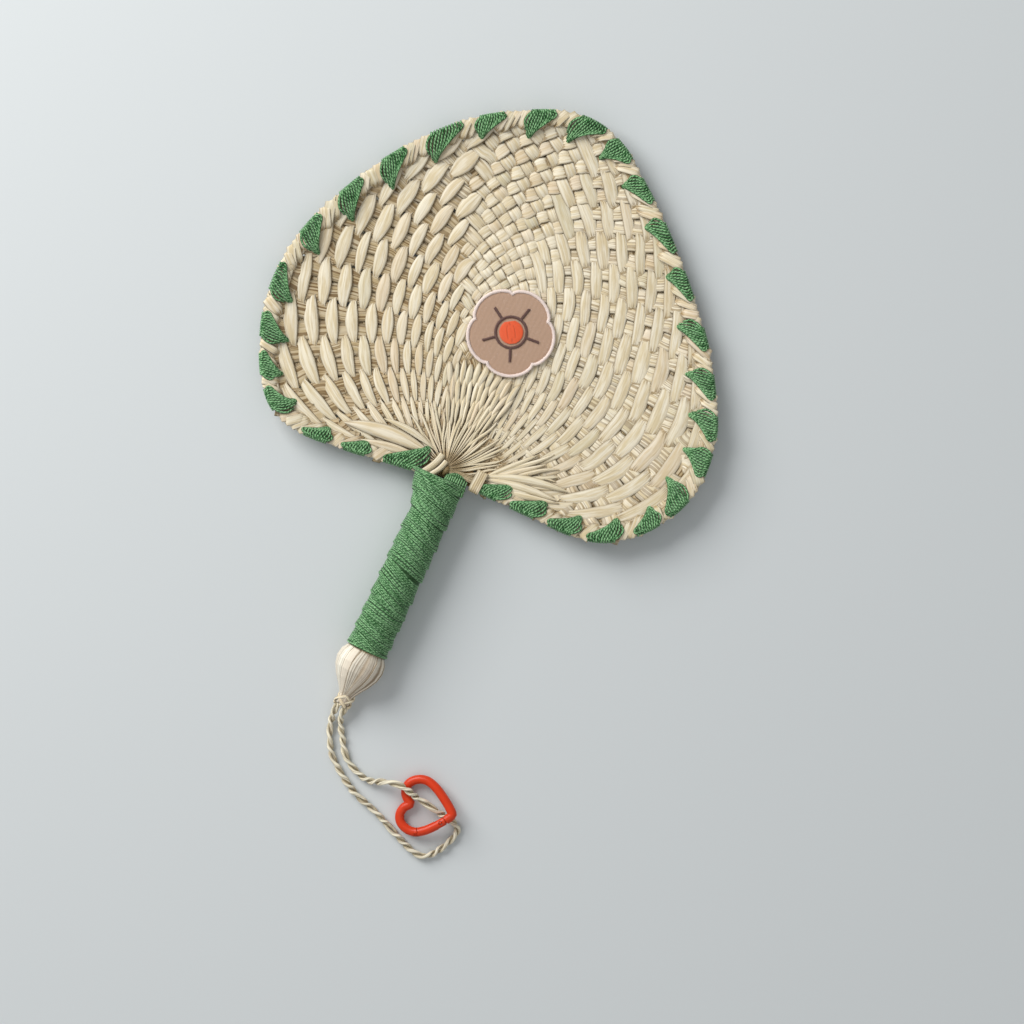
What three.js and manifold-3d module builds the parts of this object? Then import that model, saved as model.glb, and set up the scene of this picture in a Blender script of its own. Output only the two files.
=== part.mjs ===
// Hand-woven palm leaf fan with a wrapped handle, a laced rim, an embroidered flower patch
// and a wrist loop that carries a heart-shaped spring-gate ring.
// Millimetres. +Y runs from the handle to the tip, +Z is the front face, the fan lies on Z = 0.
import * as THREE from "three";
import { mergeVertices } from "three/addons/utils/BufferGeometryUtils.js";
import Module from "manifold-3d";

const wasm = await Module();
wasm.setup();

// ---- Driving dimensions ----

// Blade
const blade_length = 173;
const blade_half_width = 106;
const blade_dish = 8.4;
const dish_power = 1.4;
const dish_flat_share = 0.42;
const dish_centre_shares = [-0.03, 0.46];
const dish_directions = 120;
const dish_rounding_steps = 3;
const outline_steps = 420;

// Woven strips
const strips_per_family = 16;
const strip_thickness = 0.5;
const weave_gap = 0.42;
const strip_fill_share = 0.78;
const weave_throat_radius = 11;
const net_cells = 36;
const net_rounds = 900;
const rim_spacing_power = 1.5;
const throat_spacing_power = 0.77;
const own_half_power = 1.54;
const own_half_blend = 0.63;

// Folded rim edging
const edging_width = 6.3;
const edging_thickness = 0.65;
const edging_fold = 1.6;
const edging_bevel = 0.7;
const edging_clearance = 0.62;
const edging_steps = 50;

// Rim lashing
const lashing_turns = 24;
const lashing_thickness = 0.7;
const lashing_clearance = 0.5;
const lashing_half_width = 3.4;
const lashing_thread_half_width = 0.8;
const lashing_hole_inset = 7.4;
const lashing_hole_radius = 1.5;
const lashing_start_margin = 4;
const lashing_end_margin = 11.5;

// Throat and handle
const heart_clearance = 0.45;
const heart_half_thickness = 1.1;
const heart_pleat = 0.35;
const heart_pleats = 11;
const heart_seat_gap = 0.35;
const handle_length = 86;
const handle_lean = 5.1;
const wrap_outer_radius = 9.9;
const wrap_thickness = 0.7;
const wrap_overlap = 0.45;
const wrap_clearance = 0.35;
const wrap_pitch = 8.3;
const wrap_lap_gap = 0.6;
const wrap_slant = 3.4;
const wrap_flare = 2.9;
const wrap_flare_offset = 2.6;
const wrap_flare_length = 20;
const wrap_steps = 16;
const wrap_top = 1.2;
const core_sides = 20;

// Palm tie at the throat
const tie_half_width = 2.1;
const tie_thickness = 0.7;
const tie_outset = 0.5;
const tie_from_end = 4.5;
const tie_hole_half_width = 2.6;

// Bulb, neck and knot
const bulb_length = 21.5;
const bulb_half_width = 11.2;
const bulb_half_height = 9.3;
const bulb_pleats = 13;
const bulb_pleat_share = 0.055;
const bulb_gap = 0.35;
const neck_half_width = 3.6;
const neck_half_height = 2.3;
const neck_length = 4.2;
const neck_height = 5;
const knot_thread = 1.5;
const knot_turns = 2;
const knot_pitch = 2;
const knot_gap = 0.32;

// Wrist loop cord
const cord_diameter = 3.2;
const cord_gap = 0.3;
const cord_lift = 0.03;
const cord_sides = 8;
const cord_steps = 72;

// Heart-shaped spring-gate ring
const ring_wire = 4.1;
const ring_tilt = 11.5;
const ring_heading = 7.8;
const ring_notch = [38.3, -142.6];
const ring_lobe_reach = 3.4;
const ring_half_width = 11.9;
const ring_point = 19.6;
const ring_sides = 10;
const gate_from_share = 0.553;
const gate_to_share = 0.73;
const gate_gap = 0.3;
const gate_bore = 2.1;
const gate_bore_length = 6.4;
const tongue_thickness = 1.3;
const tongue_clearance = 0.3;
const tongue_length = 4.2;
const tongue_height = 2.6;
const pin_diameter = 1.2;
const pin_clearance = 0.3;
const pin_from_seam = 2.2;
const pin_proud = 0.2;
const lip_length = 1.3;
const spring_wire = 0.3;
const spring_turns = 5;
const spring_pitch = 0.85;
const bore_clearance = 0.3;
const plunger_length = 1.1;
const plunger_gap = 0.3;

// Embroidered flower patch
const patch_centre = [2.7, 71.7];
const patch_radius = 20.5;
const patch_scallop_share = 0.13;
const patch_petals = 5;
const patch_turn = 17;
const patch_cloth_thickness = 0.9;
const patch_seat_gap = 0.32;
const patch_border_width = 1.3;
const patch_border_height = 1.5;
const patch_steps = 60;
const stitch_height = 0.35;
const stitch_gap = 0.3;
const stitch_line_half_width = 0.75;
const stitch_reach_share = 0.62;
const stitch_ring_radius = 7.2;
const flower_eye_radius = 5.4;
const flower_eye_height = 0.6;

const cut_overrun = 6;

// ---- Shapes as shares of the blade's half width and length ----

const outline_shares = [
  [-0.151, -0.014], [-0.27, -0.02], [-0.469, -0.029], [-0.652, -0.029], [-0.782, -0.004],
  [-0.868, 0.051], [-0.942, 0.145], [-0.988, 0.259], [-0.983, 0.386], [-0.943, 0.48],
  [-0.851, 0.6], [-0.74, 0.711], [-0.601, 0.814], [-0.43, 0.903], [-0.242, 0.965],
  [-0.081, 0.998], [0.057, 0.998], [0.193, 0.964], [0.326, 0.898], [0.467, 0.82],
  [0.609, 0.728], [0.726, 0.645], [0.832, 0.559], [0.918, 0.468], [0.988, 0.373],
  [1.011, 0.28], [0.998, 0.193], [0.928, 0.104], [0.816, 0.029], [0.704, -0.009],
  [0.575, -0.021], [0.389, -0.015], [0.248, -0.01], [0.144, -0.004],
];
// The outermost strips of the two families, run on past the trimmed outline to where they meet.
const left_guide_shares = [
  [-0.156, 1.612], [-0.441, 1.487], [-0.683, 1.297], [-0.878, 1.068], [-1.007, 0.842],
  [-1.076, 0.601], [-1.085, 0.389], [-1.047, 0.245], [-0.981, 0.135], [-0.9, 0.051],
  [-0.805, -0.004], [-0.652, -0.029], [-0.469, -0.029], [-0.27, -0.02], [-0.151, -0.014],
];
const right_guide_shares = [
  [-0.156, 1.612], [0.098, 1.444], [0.294, 1.267], [0.474, 1.087], [0.618, 0.926],
  [0.747, 0.762], [0.872, 0.596], [0.973, 0.453], [1.023, 0.339], [1.026, 0.228],
  [0.946, 0.111], [0.819, 0.024], [0.705, -0.011], [0.578, -0.026], [0.39, -0.018],
  [0.248, -0.01], [0.144, -0.004],
];
// Half of the heart's centre line, from the notch to the point: x follows the axis.
const heart_shares = [
  [0, 0], [-0.68, 0.2], [-1, 0.47], [-0.7, 0.76], [0.046, 0.957], [0.245, 1], [0.46, 0.857],
  [0.673, 0.588], [0.857, 0.303], [0.97, 0.09], [1, 0],
];

// ---- Shared helpers ----

const V = (x, y, z = 0) => new THREE.Vector3(x, y, z);
const clamp = (x, low, high) => Math.min(high, Math.max(low, x));
const mix = (a, b, t) => a + (b - a) * t;
const ease = (x) => {
  const t = clamp(x, 0, 1);
  return t * t * (3 - 2 * t);
};

// Evenly spaced points of a smooth curve through hand-chosen points.
function smoothLine(points, steps) {
  const curve = new THREE.CatmullRomCurve3(points, false, "centripetal");
  curve.arcLengthDivisions = steps * 4;
  return curve.getSpacedPoints(steps);
}

function along(line, t) {
  const x = clamp(t, 0, 1) * (line.length - 1);
  const k = Math.min(Math.floor(x), line.length - 2);
  return line[k].clone().lerp(line[k + 1], x - k);
}

function meshGeometry(points, faces) {
  const g = new THREE.BufferGeometry();
  const flat = points.flatMap((p) => [p.x, p.y, p.z]);
  g.setAttribute("position", new THREE.Float32BufferAttribute(flat, 3));
  g.setIndex(faces.flat());
  let volume = 0;
  for (const [a, b, c] of faces) {
    volume += points[a].dot(points[b].clone().cross(points[c]));
  }
  if (volume < 0) g.setIndex(faces.flatMap(([a, b, c]) => [a, c, b]));
  return g;
}

// A closed solid through rings of equal count; caps follow the profile, which may be hollowed.
function loft(rings, capProfile = null) {
  const m = rings[0].length;
  const points = rings.flat();
  const faces = [];
  for (let r = 0; r + 1 < rings.length; r++) {
    for (let k = 0; k < m; k++) {
      const a = r * m + k;
      const b = r * m + ((k + 1) % m);
      faces.push([a, b, b + m], [a, b + m, a + m]);
    }
  }
  const last = (rings.length - 1) * m;
  const flat = capProfile ?? rings[0].map((_, k) => {
    const angle = (2 * Math.PI * k) / m;
    return new THREE.Vector2(Math.cos(angle), Math.sin(angle));
  });
  const forward = THREE.ShapeUtils.area(flat) > 0;
  for (const [a, b, c] of THREE.ShapeUtils.triangulateShape(flat, [])) {
    if (forward) {
      faces.push([c, b, a], [last + a, last + b, last + c]);
    } else {
      faces.push([a, b, c], [last + c, last + b, last + a]);
    }
  }
  return meshGeometry(points, faces);
}

// A closed ring of sections: the last joins the first.
function closedLoft(rings) {
  const m = rings[0].length;
  const faces = [];
  rings.forEach((_, r) => {
    const next = (r + 1) % rings.length;
    for (let k = 0; k < m; k++) {
      const l = (k + 1) % m;
      faces.push([r * m + k, r * m + l, next * m + l], [r * m + k, next * m + l, next * m + k]);
    }
  });
  return meshGeometry(rings.flat(), faces);
}

function toSolid(geometry) {
  const g = (geometry.index ? geometry.toNonIndexed() : geometry.clone());
  g.deleteAttribute("normal");
  g.deleteAttribute("uv");
  const merged = mergeVertices(g, 1e-4);
  return new wasm.Manifold(new wasm.Mesh({
    numProp: 3,
    vertProperties: new Float32Array(merged.attributes.position.array),
    triVerts: new Uint32Array(merged.index.array),
  }));
}

function toGeometry(solid) {
  const mesh = solid.getMesh();
  const g = new THREE.BufferGeometry();
  const flat = [];
  for (let k = 0; k < mesh.numVert; k++) {
    for (let c = 0; c < 3; c++) flat.push(mesh.vertProperties[k * mesh.numProp + c]);
  }
  g.setAttribute("position", new THREE.Float32BufferAttribute(flat, 3));
  g.setIndex([...mesh.triVerts]);
  return g;
}

const largestBody = (solid) =>
  solid.decompose().sort((a, b) => b.volume() - a.volume())[0] ?? null;

// ---- The dished blade surface ----

const fromShares = (table) =>
  table.map(([x, y]) => V(x * blade_half_width, y * blade_length));
const outline = smoothLine(fromShares(outline_shares), outline_steps);
const outline_length = outline.reduce(
  (sum, p, k) => sum + (k ? p.distanceTo(outline[k - 1]) : 0), 0);
const dish_centre = V(dish_centre_shares[0] * blade_half_width,
  dish_centre_shares[1] * blade_length);

const outline_polar = outline
  .map((p) => {
    const d = p.clone().sub(dish_centre);
    return [Math.atan2(d.y, d.x), d.length()];
  })
  .sort((a, b) => a[0] - b[0]);

function outlineRadius(angle) {
  const n = outline_polar.length;
  let high = outline_polar.findIndex(([a]) => a > angle);
  if (high < 0) high = 0;
  const low = (high + n - 1) % n;
  const [a0, r0] = outline_polar[low];
  const [a1, r1] = outline_polar[high];
  const span = (a1 - a0 + 2 * Math.PI) % (2 * Math.PI) || 1;
  const step = (angle - a0 + 2 * Math.PI) % (2 * Math.PI);
  return mix(r0, r1, step / span);
}

// The dish follows the outline with its corners rounded off.
const dish_radii = Array.from({ length: dish_directions }, (_, k) => {
  let sum = 0;
  for (let m = -3; m <= 3; m++) {
    const angle = (2 * Math.PI * (k + m * dish_rounding_steps)) / dish_directions;
    sum += outlineRadius(Math.atan2(Math.sin(angle), Math.cos(angle)));
  }
  return sum / 7;
});

function dishRadius(angle) {
  const x = ((angle / (2 * Math.PI) + 1) % 1) * dish_directions;
  const k = Math.floor(x) % dish_directions;
  return mix(dish_radii[k], dish_radii[(k + 1) % dish_directions], x - Math.floor(x));
}

const weave_amplitude = (strip_thickness + weave_gap) / 2;
const weave_half = weave_amplitude + strip_thickness / 2;

// Height of the weave's middle plane: flat round the centre, rising to the rim.
function bladeHeight(x, y) {
  const d = V(x, y).sub(dish_centre);
  const share = d.length() / dishRadius(Math.atan2(d.y, d.x));
  const out = clamp((share - dish_flat_share) / (1 - dish_flat_share), 0, 2);
  const rise = out <= 1 ? out ** dish_power : 1 + dish_power * (out - 1);
  return weave_half + blade_dish * rise;
}

// A point given by distance along the outline, distance in from it and height over the blade.
function rimPoint(distance, inset, height) {
  const t = distance / outline_length;
  const p = along(outline, t);
  const step = 1.5 / outline_steps;
  const tangent = along(outline, t + step).sub(along(outline, t - step)).normalize();
  const inward = V(tangent.y, -tangent.x);
  const q = p.clone().addScaledVector(inward, inset);
  q.addScaledVector(tangent, distance - clamp(t, 0, 1) * outline_length);
  q.z = bladeHeight(q.x, q.y) + height;
  return q;
}

// ---- The woven strips: the feature that takes the most skill ----

// A relaxed net between the two outermost strips and the throat. Lines of the net are the paths
// that strips take when each settles between its neighbours.
function relaxedNet() {
  const n = net_cells;
  const left = smoothLine(fromShares(left_guide_shares), outline_steps);
  const right = smoothLine(fromShares(right_guide_shares), outline_steps);
  const spaced = (line) =>
    Array.from({ length: n + 1 }, (_, k) => along(line, (k / n) ** rim_spacing_power));
  const throatArc = (from) => {
    const angle = Math.atan2(from.x, from.y);
    return Array.from({ length: n + 1 }, (_, k) => {
      const q = (k / n) ** throat_spacing_power;
      const r = mix(from.length(), weave_throat_radius, q);
      return V(r * Math.sin(angle * (1 - q)), r * Math.cos(angle * (1 - q)));
    });
  };
  const leftEdge = spaced(left);
  const rightEdge = spaced(right);
  const leftArc = throatArc(leftEdge[n]);
  const rightArc = throatArc(rightEdge[n]);
  const net = [];
  for (let i = 0; i <= n; i++) {
    net.push([]);
    for (let j = 0; j <= n; j++) {
      const u = i / n;
      const v = j / n;
      const p = leftEdge[j].clone().multiplyScalar(1 - u).addScaledVector(rightArc[j], u)
        .addScaledVector(rightEdge[i], 1 - v).addScaledVector(leftArc[i], v)
        .addScaledVector(leftEdge[0], -(1 - u) * (1 - v)).addScaledVector(rightEdge[n], -u * (1 - v))
        .addScaledVector(leftEdge[n], -(1 - u) * v).addScaledVector(leftArc[n], -u * v);
      net[i].push(p);
    }
  }
  for (let round = 0; round < net_rounds; round++) {
    for (let i = 1; i < n; i++) {
      for (let j = 1; j < n; j++) {
        const p = net[i][j];
        const around = [net[i - 1][j], net[i + 1][j], net[i][j - 1], net[i][j + 1]];
        const mean = around.reduce((sum, q) => sum.add(q), V(0, 0)).divideScalar(4);
        p.lerp(mean, 1.6);
      }
    }
  }
  return net;
}

const net = relaxedNet();

function netPoint(a, b) {
  const n = net_cells;
  const x = clamp(a, 0, 1) * n;
  const y = clamp(b, 0, 1) * n;
  const i = Math.min(Math.floor(x), n - 1);
  const j = Math.min(Math.floor(y), n - 1);
  const low = net[i][j].clone().lerp(net[i + 1][j], x - i);
  return low.lerp(net[i][j + 1].clone().lerp(net[i + 1][j + 1], x - i), y - j);
}

// Strips lie closer together in the half that they start in than in the half that they cross.
function weavePoint(leftShare, rightShare) {
  const power = (other) => 1 + (own_half_power - 1) * ease(other / own_half_blend);
  let a = leftShare;
  let b = rightShare;
  for (let k = 0; k < 40; k++) {
    a = (a + leftShare ** power(b)) / 2;
    b = (b + rightShare ** power(a)) / 2;
  }
  return netPoint(a, b);
}

const crossing_edges = Array.from({ length: 2 * strips_per_family }, (_, k) => {
  const side = k % 2 ? 0.5 : -0.5;
  return (Math.floor(k / 2) + 0.5 + side * strip_fill_share) / strips_per_family;
});
const crossings = crossing_edges.map((u) => [...crossing_edges, 1].map((v) => weavePoint(u, v)));
const crossings_right = crossing_edges.map((v) =>
  [...crossing_edges, 1].map((u) => weavePoint(u, v)));

// One strip: two corners and two faces per section, over at even crossings, under at odd ones.
function stripSolid(table, index, parity) {
  const rings = [];
  const a = table[2 * index];
  const b = table[2 * index + 1];
  for (let k = 0; k < a.length; k++) {
    const crossing = Math.min(Math.floor(k / 2), strips_per_family - 1);
    const over = (index + crossing + parity) % 2 === 0 ? 1 : -1;
    rings.push([[a, 1], [b, 1], [b, -1], [a, -1]].map(([line, face]) => {
      const q = line[k].clone();
      q.z = bladeHeight(q.x, q.y) + over * weave_amplitude + (face * strip_thickness) / 2;
      return q;
    }));
  }
  return toSolid(loft(rings));
}

// The trimmed blade, as a tall prism that cuts the strips off inside the folded edging.
function trimPrism() {
  const inset = edging_fold + edging_clearance;
  const shape = new THREE.Shape();
  for (let k = 0; k <= outline_steps; k += 3) {
    const p = rimPoint((k / outline_steps) * outline_length, inset, 0);
    if (k === 0) shape.moveTo(p.x, p.y);
    else shape.lineTo(p.x, p.y);
  }
  shape.closePath();
  const tall = blade_dish + 2 * cut_overrun + 2 * weave_half;
  const g = new THREE.ExtrudeGeometry(shape, { depth: tall, bevelEnabled: false });
  g.translate(0, 0, -cut_overrun);
  return toSolid(g);
}

const lashing_pitch =
  (outline_length - lashing_start_margin - lashing_end_margin) / lashing_turns;
const lashingHole = (turn) => lashing_start_margin + turn * lashing_pitch;

function punch(x, y, radius) {
  const g = new THREE.CylinderGeometry(radius, radius, blade_dish + 3 * cut_overrun, 6);
  g.rotateX(Math.PI / 2);
  g.translate(x, y, blade_dish);
  return toSolid(g);
}

const tie_distance = outline_length - tie_from_end;
const strip_cutters = [];
for (let turn = 0; turn <= lashing_turns; turn++) {
  const p = rimPoint(lashingHole(turn), lashing_hole_inset, 0);
  strip_cutters.push(punch(p.x, p.y, lashing_hole_radius));
}

function tiePrism() {
  const reach = lashing_hole_inset + tie_hole_half_width;
  const shape = new THREE.Shape();
  [[-1, -1], [1, -1], [1, 1], [-1, 1]].forEach(([s, i], k) => {
    const p = rimPoint(tie_distance + s * (tie_half_width + tie_outset),
      mix(lashing_hole_inset - tie_outset, reach, (i + 1) / 2), 0);
    if (k === 0) shape.moveTo(p.x, p.y);
    else shape.lineTo(p.x, p.y);
  });
  shape.closePath();
  const tall = blade_dish + 3 * cut_overrun;
  const g = new THREE.ExtrudeGeometry(shape, { depth: tall, bevelEnabled: false });
  g.translate(0, 0, -cut_overrun);
  return toSolid(g);
}
strip_cutters.push(tiePrism());

const trim = trimPrism();

function finishStrip(solid) {
  let cut = solid.intersect(trim);
  for (const cutter of strip_cutters) cut = cut.subtract(cutter);
  return largestBody(cut);
}

// ---- Rim: folded edging and lashing ----

function edgingGeometry() {
  const leg_inner = weave_half + edging_clearance;
  const leg_outer = leg_inner + edging_thickness;
  const profile = [
    [0, -leg_outer + edging_bevel], [0, leg_outer - edging_bevel], [edging_bevel, leg_outer],
    [edging_width, leg_outer], [edging_width, leg_inner], [edging_fold, leg_inner],
    [edging_fold, -leg_inner], [edging_width, -leg_inner], [edging_width, -leg_outer],
    [edging_bevel, -leg_outer],
  ];
  const rings = [];
  for (let k = 0; k <= edging_steps; k++) {
    const distance = (k / edging_steps) * outline_length;
    rings.push(profile.map(([inset, height]) => rimPoint(distance, inset, height)));
  }
  return loft(rings, profile.map(([x, y]) => new THREE.Vector2(x, y)));
}

const edging_top = weave_half + edging_clearance + edging_thickness;

// One unbroken band. Each turn comes up through the blade inside the edging, widens into a leaf
// over the front, goes round the rim and returns behind.
function lashingRings() {
  const t = lashing_thickness / 2;
  const w = lashing_half_width;
  const s = lashing_thread_half_width;
  const up = edging_top + lashing_clearance + t;
  const out = lashing_clearance + t;
  const hole = lashing_hole_inset;
  const inner = edging_width;
  const d = Math.SQRT1_2 * t;
  // [share of the pitch, inset, height, half width along, half width in, thickness in, up]
  const turn = [
    [0, hole, 0, s, 0, t, 0],
    [0, hole, up - t, s, 0, d, d],
    [0.08, hole - s, up, s, s, 0, t],
    [0.34, inner * 0.62, up, w * 0.52, w * 0.58, 0, t],
    [0.66, inner * 0.16, up, w, w * 0.16, 0, t],
    [0.7, -d, up - edging_bevel, w, 0, -d, d],
    [0.72, -out, 0, w * 0.94, 0, -t, 0],
    [0.75, -d, -up + edging_bevel, w * 0.85, 0, -d, -d],
    [0.79, inner * 0.18, -up, w * 0.74, 0, 0, -t],
    [0.9, inner * 0.66, -up, w * 0.5, 0, 0, -t],
    [0.98, hole - s, -up, s, 0, 0, -t],
    [1, hole, -up + t, s, 0, d, -d],
  ];
  const rings = [];
  for (let k = 0; k < lashing_turns; k++) {
    for (const [a, inset, height, wa, wi, ti, th] of turn) {
      const at = lashingHole(k + a);
      rings.push([[1, 1], [-1, 1], [-1, -1], [1, -1]].map(([x, y]) =>
        rimPoint(at + x * wa, inset + x * wi + y * ti, height + y * th)));
    }
  }
  return rings;
}

// The least gap between parts of a band that are more than a few sections apart.
function leastGap(rings, skip) {
  const sides = rings.map((ring) => {
    const out = [];
    for (let k = 0; k < ring.length; k++) {
      for (let f = 0; f < 4; f++) {
        out.push(ring[k].clone().lerp(ring[(k + 1) % ring.length], f / 4));
      }
    }
    return out;
  });
  let least = Infinity;
  for (let a = 0; a < rings.length; a++) {
    for (let b = a + skip; b < Math.min(rings.length, a + 4 * skip); b++) {
      for (const p of sides[a]) {
        for (const q of sides[b]) least = Math.min(least, p.distanceTo(q));
      }
    }
  }
  return least;
}

// ---- Throat and handle ----

const handle_tilt = Math.atan2(handle_lean, handle_length);
const throat_height = bladeHeight(0, 0);
const handle_height = wrap_outer_radius;

// A point of the handle: distance down from the throat, angle round it, radius.
function handlePoint(down, angle, radius, widen = 0, shift = 0) {
  const across = Math.cos(angle) * (radius + widen) + shift;
  const x = -Math.sin(handle_tilt) * down + Math.cos(handle_tilt) * across;
  const y = -Math.cos(handle_tilt) * down - Math.sin(handle_tilt) * across;
  return V(x, y, handle_height + Math.sin(angle) * radius);
}

const flareAt = (down) => 1 - ease(down / wrap_flare_length);
const core_radius = wrap_outer_radius - wrap_thickness - wrap_overlap - wrap_clearance;

function coreGeometry() {
  const rings = [];
  const top = wrap_top + wrap_slant;
  for (const down of [top, wrap_flare_length / 3, (2 * wrap_flare_length) / 3,
    wrap_flare_length, handle_length - bulb_gap]) {
    const ring = [];
    for (let k = 0; k < core_sides; k++) {
      const angle = (2 * Math.PI * k) / core_sides;
      ring.push(handlePoint(down, angle, core_radius, wrap_flare * flareAt(down),
        -wrap_flare_offset * flareAt(down)));
    }
    rings.push(ring);
  }
  return loft(rings);
}

// One unbroken band in slanted laps, each lap's lower edge lying over the next.
function wrapRings() {
  const turns = (handle_length - wrap_top - wrap_pitch - 2 * wrap_slant) / wrap_pitch;
  const steps = Math.round(turns * wrap_steps);
  const rings = [];
  const half = (wrap_pitch - wrap_lap_gap) / 2;
  for (let k = 0; k <= steps; k++) {
    const angle = (2 * Math.PI * k) / wrap_steps;
    const middle = wrap_top + wrap_slant + half + (wrap_pitch * k) / wrap_steps;
    const slant = wrap_slant * Math.cos(angle);
    const corner = (edge, face) => {
      const down = middle + slant + edge * half;
      const lift = (edge * wrap_overlap) / 2;
      const radius = wrap_outer_radius - wrap_thickness / 2 - wrap_overlap / 2 + lift
        + (face * wrap_thickness) / 2;
      return handlePoint(down, angle, radius, wrap_flare * flareAt(down),
        -wrap_flare_offset * flareAt(down));
    };
    rings.push([corner(-1, 1), corner(1, 1), corner(1, -1), corner(-1, -1)]);
  }
  return rings;
}

// The joined base of the leaf: a pleated fan between the handle and the first free strips.
function heartGeometry() {
  const reach = weave_throat_radius - heart_clearance;
  const spread = (100 * Math.PI) / 180;
  const bottom = -(wrap_top + wrap_slant) + heart_seat_gap;
  const columns = 2 * heart_pleats;
  const rings = [];
  for (let k = 0; k <= columns; k++) {
    const share = k / columns;
    const angle = mix(-spread, spread, share);
    const pleat = (k % 2 ? 1 : -1) * heart_pleat;
    const row = [];
    for (const face of [1, -1]) {
      for (const r of face > 0 ? [0.34, 0.66, 1] : [1, 0.66, 0.34]) {
        const x = reach * r * Math.sin(angle);
        const y = Math.max(reach * r * Math.cos(angle), bottom);
        const z = mix(handle_height, throat_height, r);
        const thick = mix(core_radius * 0.5, heart_half_thickness, r);
        row.push(V(x, y, z + face * thick + pleat * r));
      }
    }
    rings.push(row);
  }
  return loft(rings, [[0.34, 1], [0.66, 1], [1, 1], [1, -1], [0.66, -1], [0.34, -1]]
    .map(([x, y]) => new THREE.Vector2(x, y)));
}

// The stub of the leaf stem that carries the pleated base down on to the core.
function stemGeometry() {
  const top = weave_throat_radius * 0.34 - heart_clearance;
  const bottom = wrap_top + wrap_slant - heart_seat_gap;
  const rings = [];
  for (const [y, r] of [[bottom, core_radius * 0.8], [0, core_radius * 0.5],
    [-top * 0.6, core_radius * 0.42]]) {
    const ring = [];
    for (let k = 0; k < core_sides; k++) {
      ring.push(handlePoint(y, (2 * Math.PI * k) / core_sides, r));
    }
    rings.push(ring);
  }
  return loft(rings);
}

// A palm strip tied once round the rim's right end: a closed loop through the blade.
function tieGeometry() {
  const t = tie_thickness / 2;
  const up = edging_top + lashing_clearance + t;
  const out = lashing_clearance + t;
  const hole = lashing_hole_inset + tie_hole_half_width / 2;
  const d = Math.SQRT1_2 * t;
  const path = [
    [hole, 0, t, 0], [hole, up - t, d, d], [hole - t, up, 0, t], [edging_width / 2, up, 0, t],
    [t, up, 0, t], [-d, up - edging_bevel, -d, d], [-out, 0, -t, 0],
    [-d, -up + edging_bevel, -d, -d], [t, -up, 0, -t], [edging_width / 2, -up, 0, -t],
    [hole - t, -up, 0, -t], [hole, -up + t, d, -d],
  ];
  return closedLoft(path.map(([inset, height, ti, th]) =>
    [[1, 1], [-1, 1], [-1, -1], [1, -1]].map(([x, y]) =>
      rimPoint(tie_distance + x * tie_half_width, inset + y * ti, height + y * th))));
}

// ---- Bulb, neck and knot ----

const bulb_top = handle_length + bulb_gap;
const neck_end = bulb_top + bulb_length + neck_length;

function bulbSection(down, half_width, half_height, height, pleats) {
  const ring = [];
  for (let k = 0; k < 2 * bulb_pleats; k++) {
    const angle = (Math.PI * k) / bulb_pleats;
    const swell = 1 + (k % 2 ? -1 : 1) * pleats;
    const across = Math.cos(angle) * half_width * swell;
    const p = handlePoint(down, 0, 0, across);
    p.z = height + Math.sin(angle) * half_height * swell;
    ring.push(p);
  }
  return ring;
}

function bulbGeometry() {
  // [share of the length, share of the width, share of the pleats, share of the drop]
  const stations = [
    [0, 0.86, 0.4, 0], [0.12, 0.96, 1, 0], [0.34, 1, 1, 0.03], [0.56, 0.9, 1, 0.12],
    [0.76, 0.68, 1, 0.4], [0.9, 0.45, 0.9, 0.74], [1, 0.33, 0.6, 1],
  ];
  const rings = stations.map(([s, wide, pleat, drop]) =>
    bulbSection(bulb_top + s * bulb_length,
      s < 1 ? bulb_half_width * wide : neck_half_width,
      s < 1 ? bulb_half_height * wide : neck_half_height,
      mix(handle_height, neck_height, drop), bulb_pleat_share * pleat));
  rings.push(bulbSection(neck_end, neck_half_width, neck_half_height, neck_height, 0));
  return loft(rings);
}

function knotGeometry() {
  const r = knot_thread / 2;
  const steps = 14;
  const rings = [];
  const start = neck_end - neck_length / 2 - (knot_turns * knot_pitch) / 2;
  for (let k = 0; k <= knot_turns * steps; k++) {
    const angle = (2 * Math.PI * k) / steps;
    const down = start + (knot_pitch * k) / steps;
    const ring = [];
    for (let m = 0; m < 6; m++) {
      const phi = (2 * Math.PI * m) / 6;
      const grow = knot_gap + r + Math.cos(phi) * r;
      const p = handlePoint(down + Math.sin(phi) * r, 0, 0,
        Math.cos(angle) * (neck_half_width + grow));
      p.z = neck_height + Math.sin(angle) * (neck_half_height + grow);
      ring.push(p);
    }
    rings.push(ring);
  }
  return rings;
}

// ---- Wrist loop cord ----

const cord_radius = cord_diameter / 2;
const cord_rest = cord_radius + cord_lift;
const ring_wire_radius = ring_wire / 2;
const deg = Math.PI / 180;
const ring_axis = V(Math.cos(ring_heading * deg), Math.sin(ring_heading * deg));
const ring_side = V(-ring_axis.y, ring_axis.x);
const ring_rise = Math.tan(ring_tilt * deg);
const ring_base_height = ring_wire_radius + ring_lobe_reach * ring_rise;

// The ring's own plane: along its axis from the notch, and to its side.
function ringPoint(u, v, lift = 0) {
  const normal = V(0, 0, 1).addScaledVector(ring_axis, -ring_rise).normalize();
  return V(ring_notch[0], ring_notch[1], ring_base_height)
    .addScaledVector(ring_axis, u).addScaledVector(ring_side, v)
    .add(V(0, 0, u * ring_rise)).addScaledVector(normal, lift);
}

const cord_exit_spread = cord_diameter / 2 + cord_gap;
const exitPoint = (side) => {
  const p = handlePoint(neck_end + cord_gap, 0, 0, side * cord_exit_spread);
  p.z = neck_height;
  return p;
};
const exitStep = (side, further, height) => {
  const p = handlePoint(neck_end + cord_gap + further, 0, 0, side * cord_exit_spread);
  p.z = height;
  return p;
};

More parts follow.
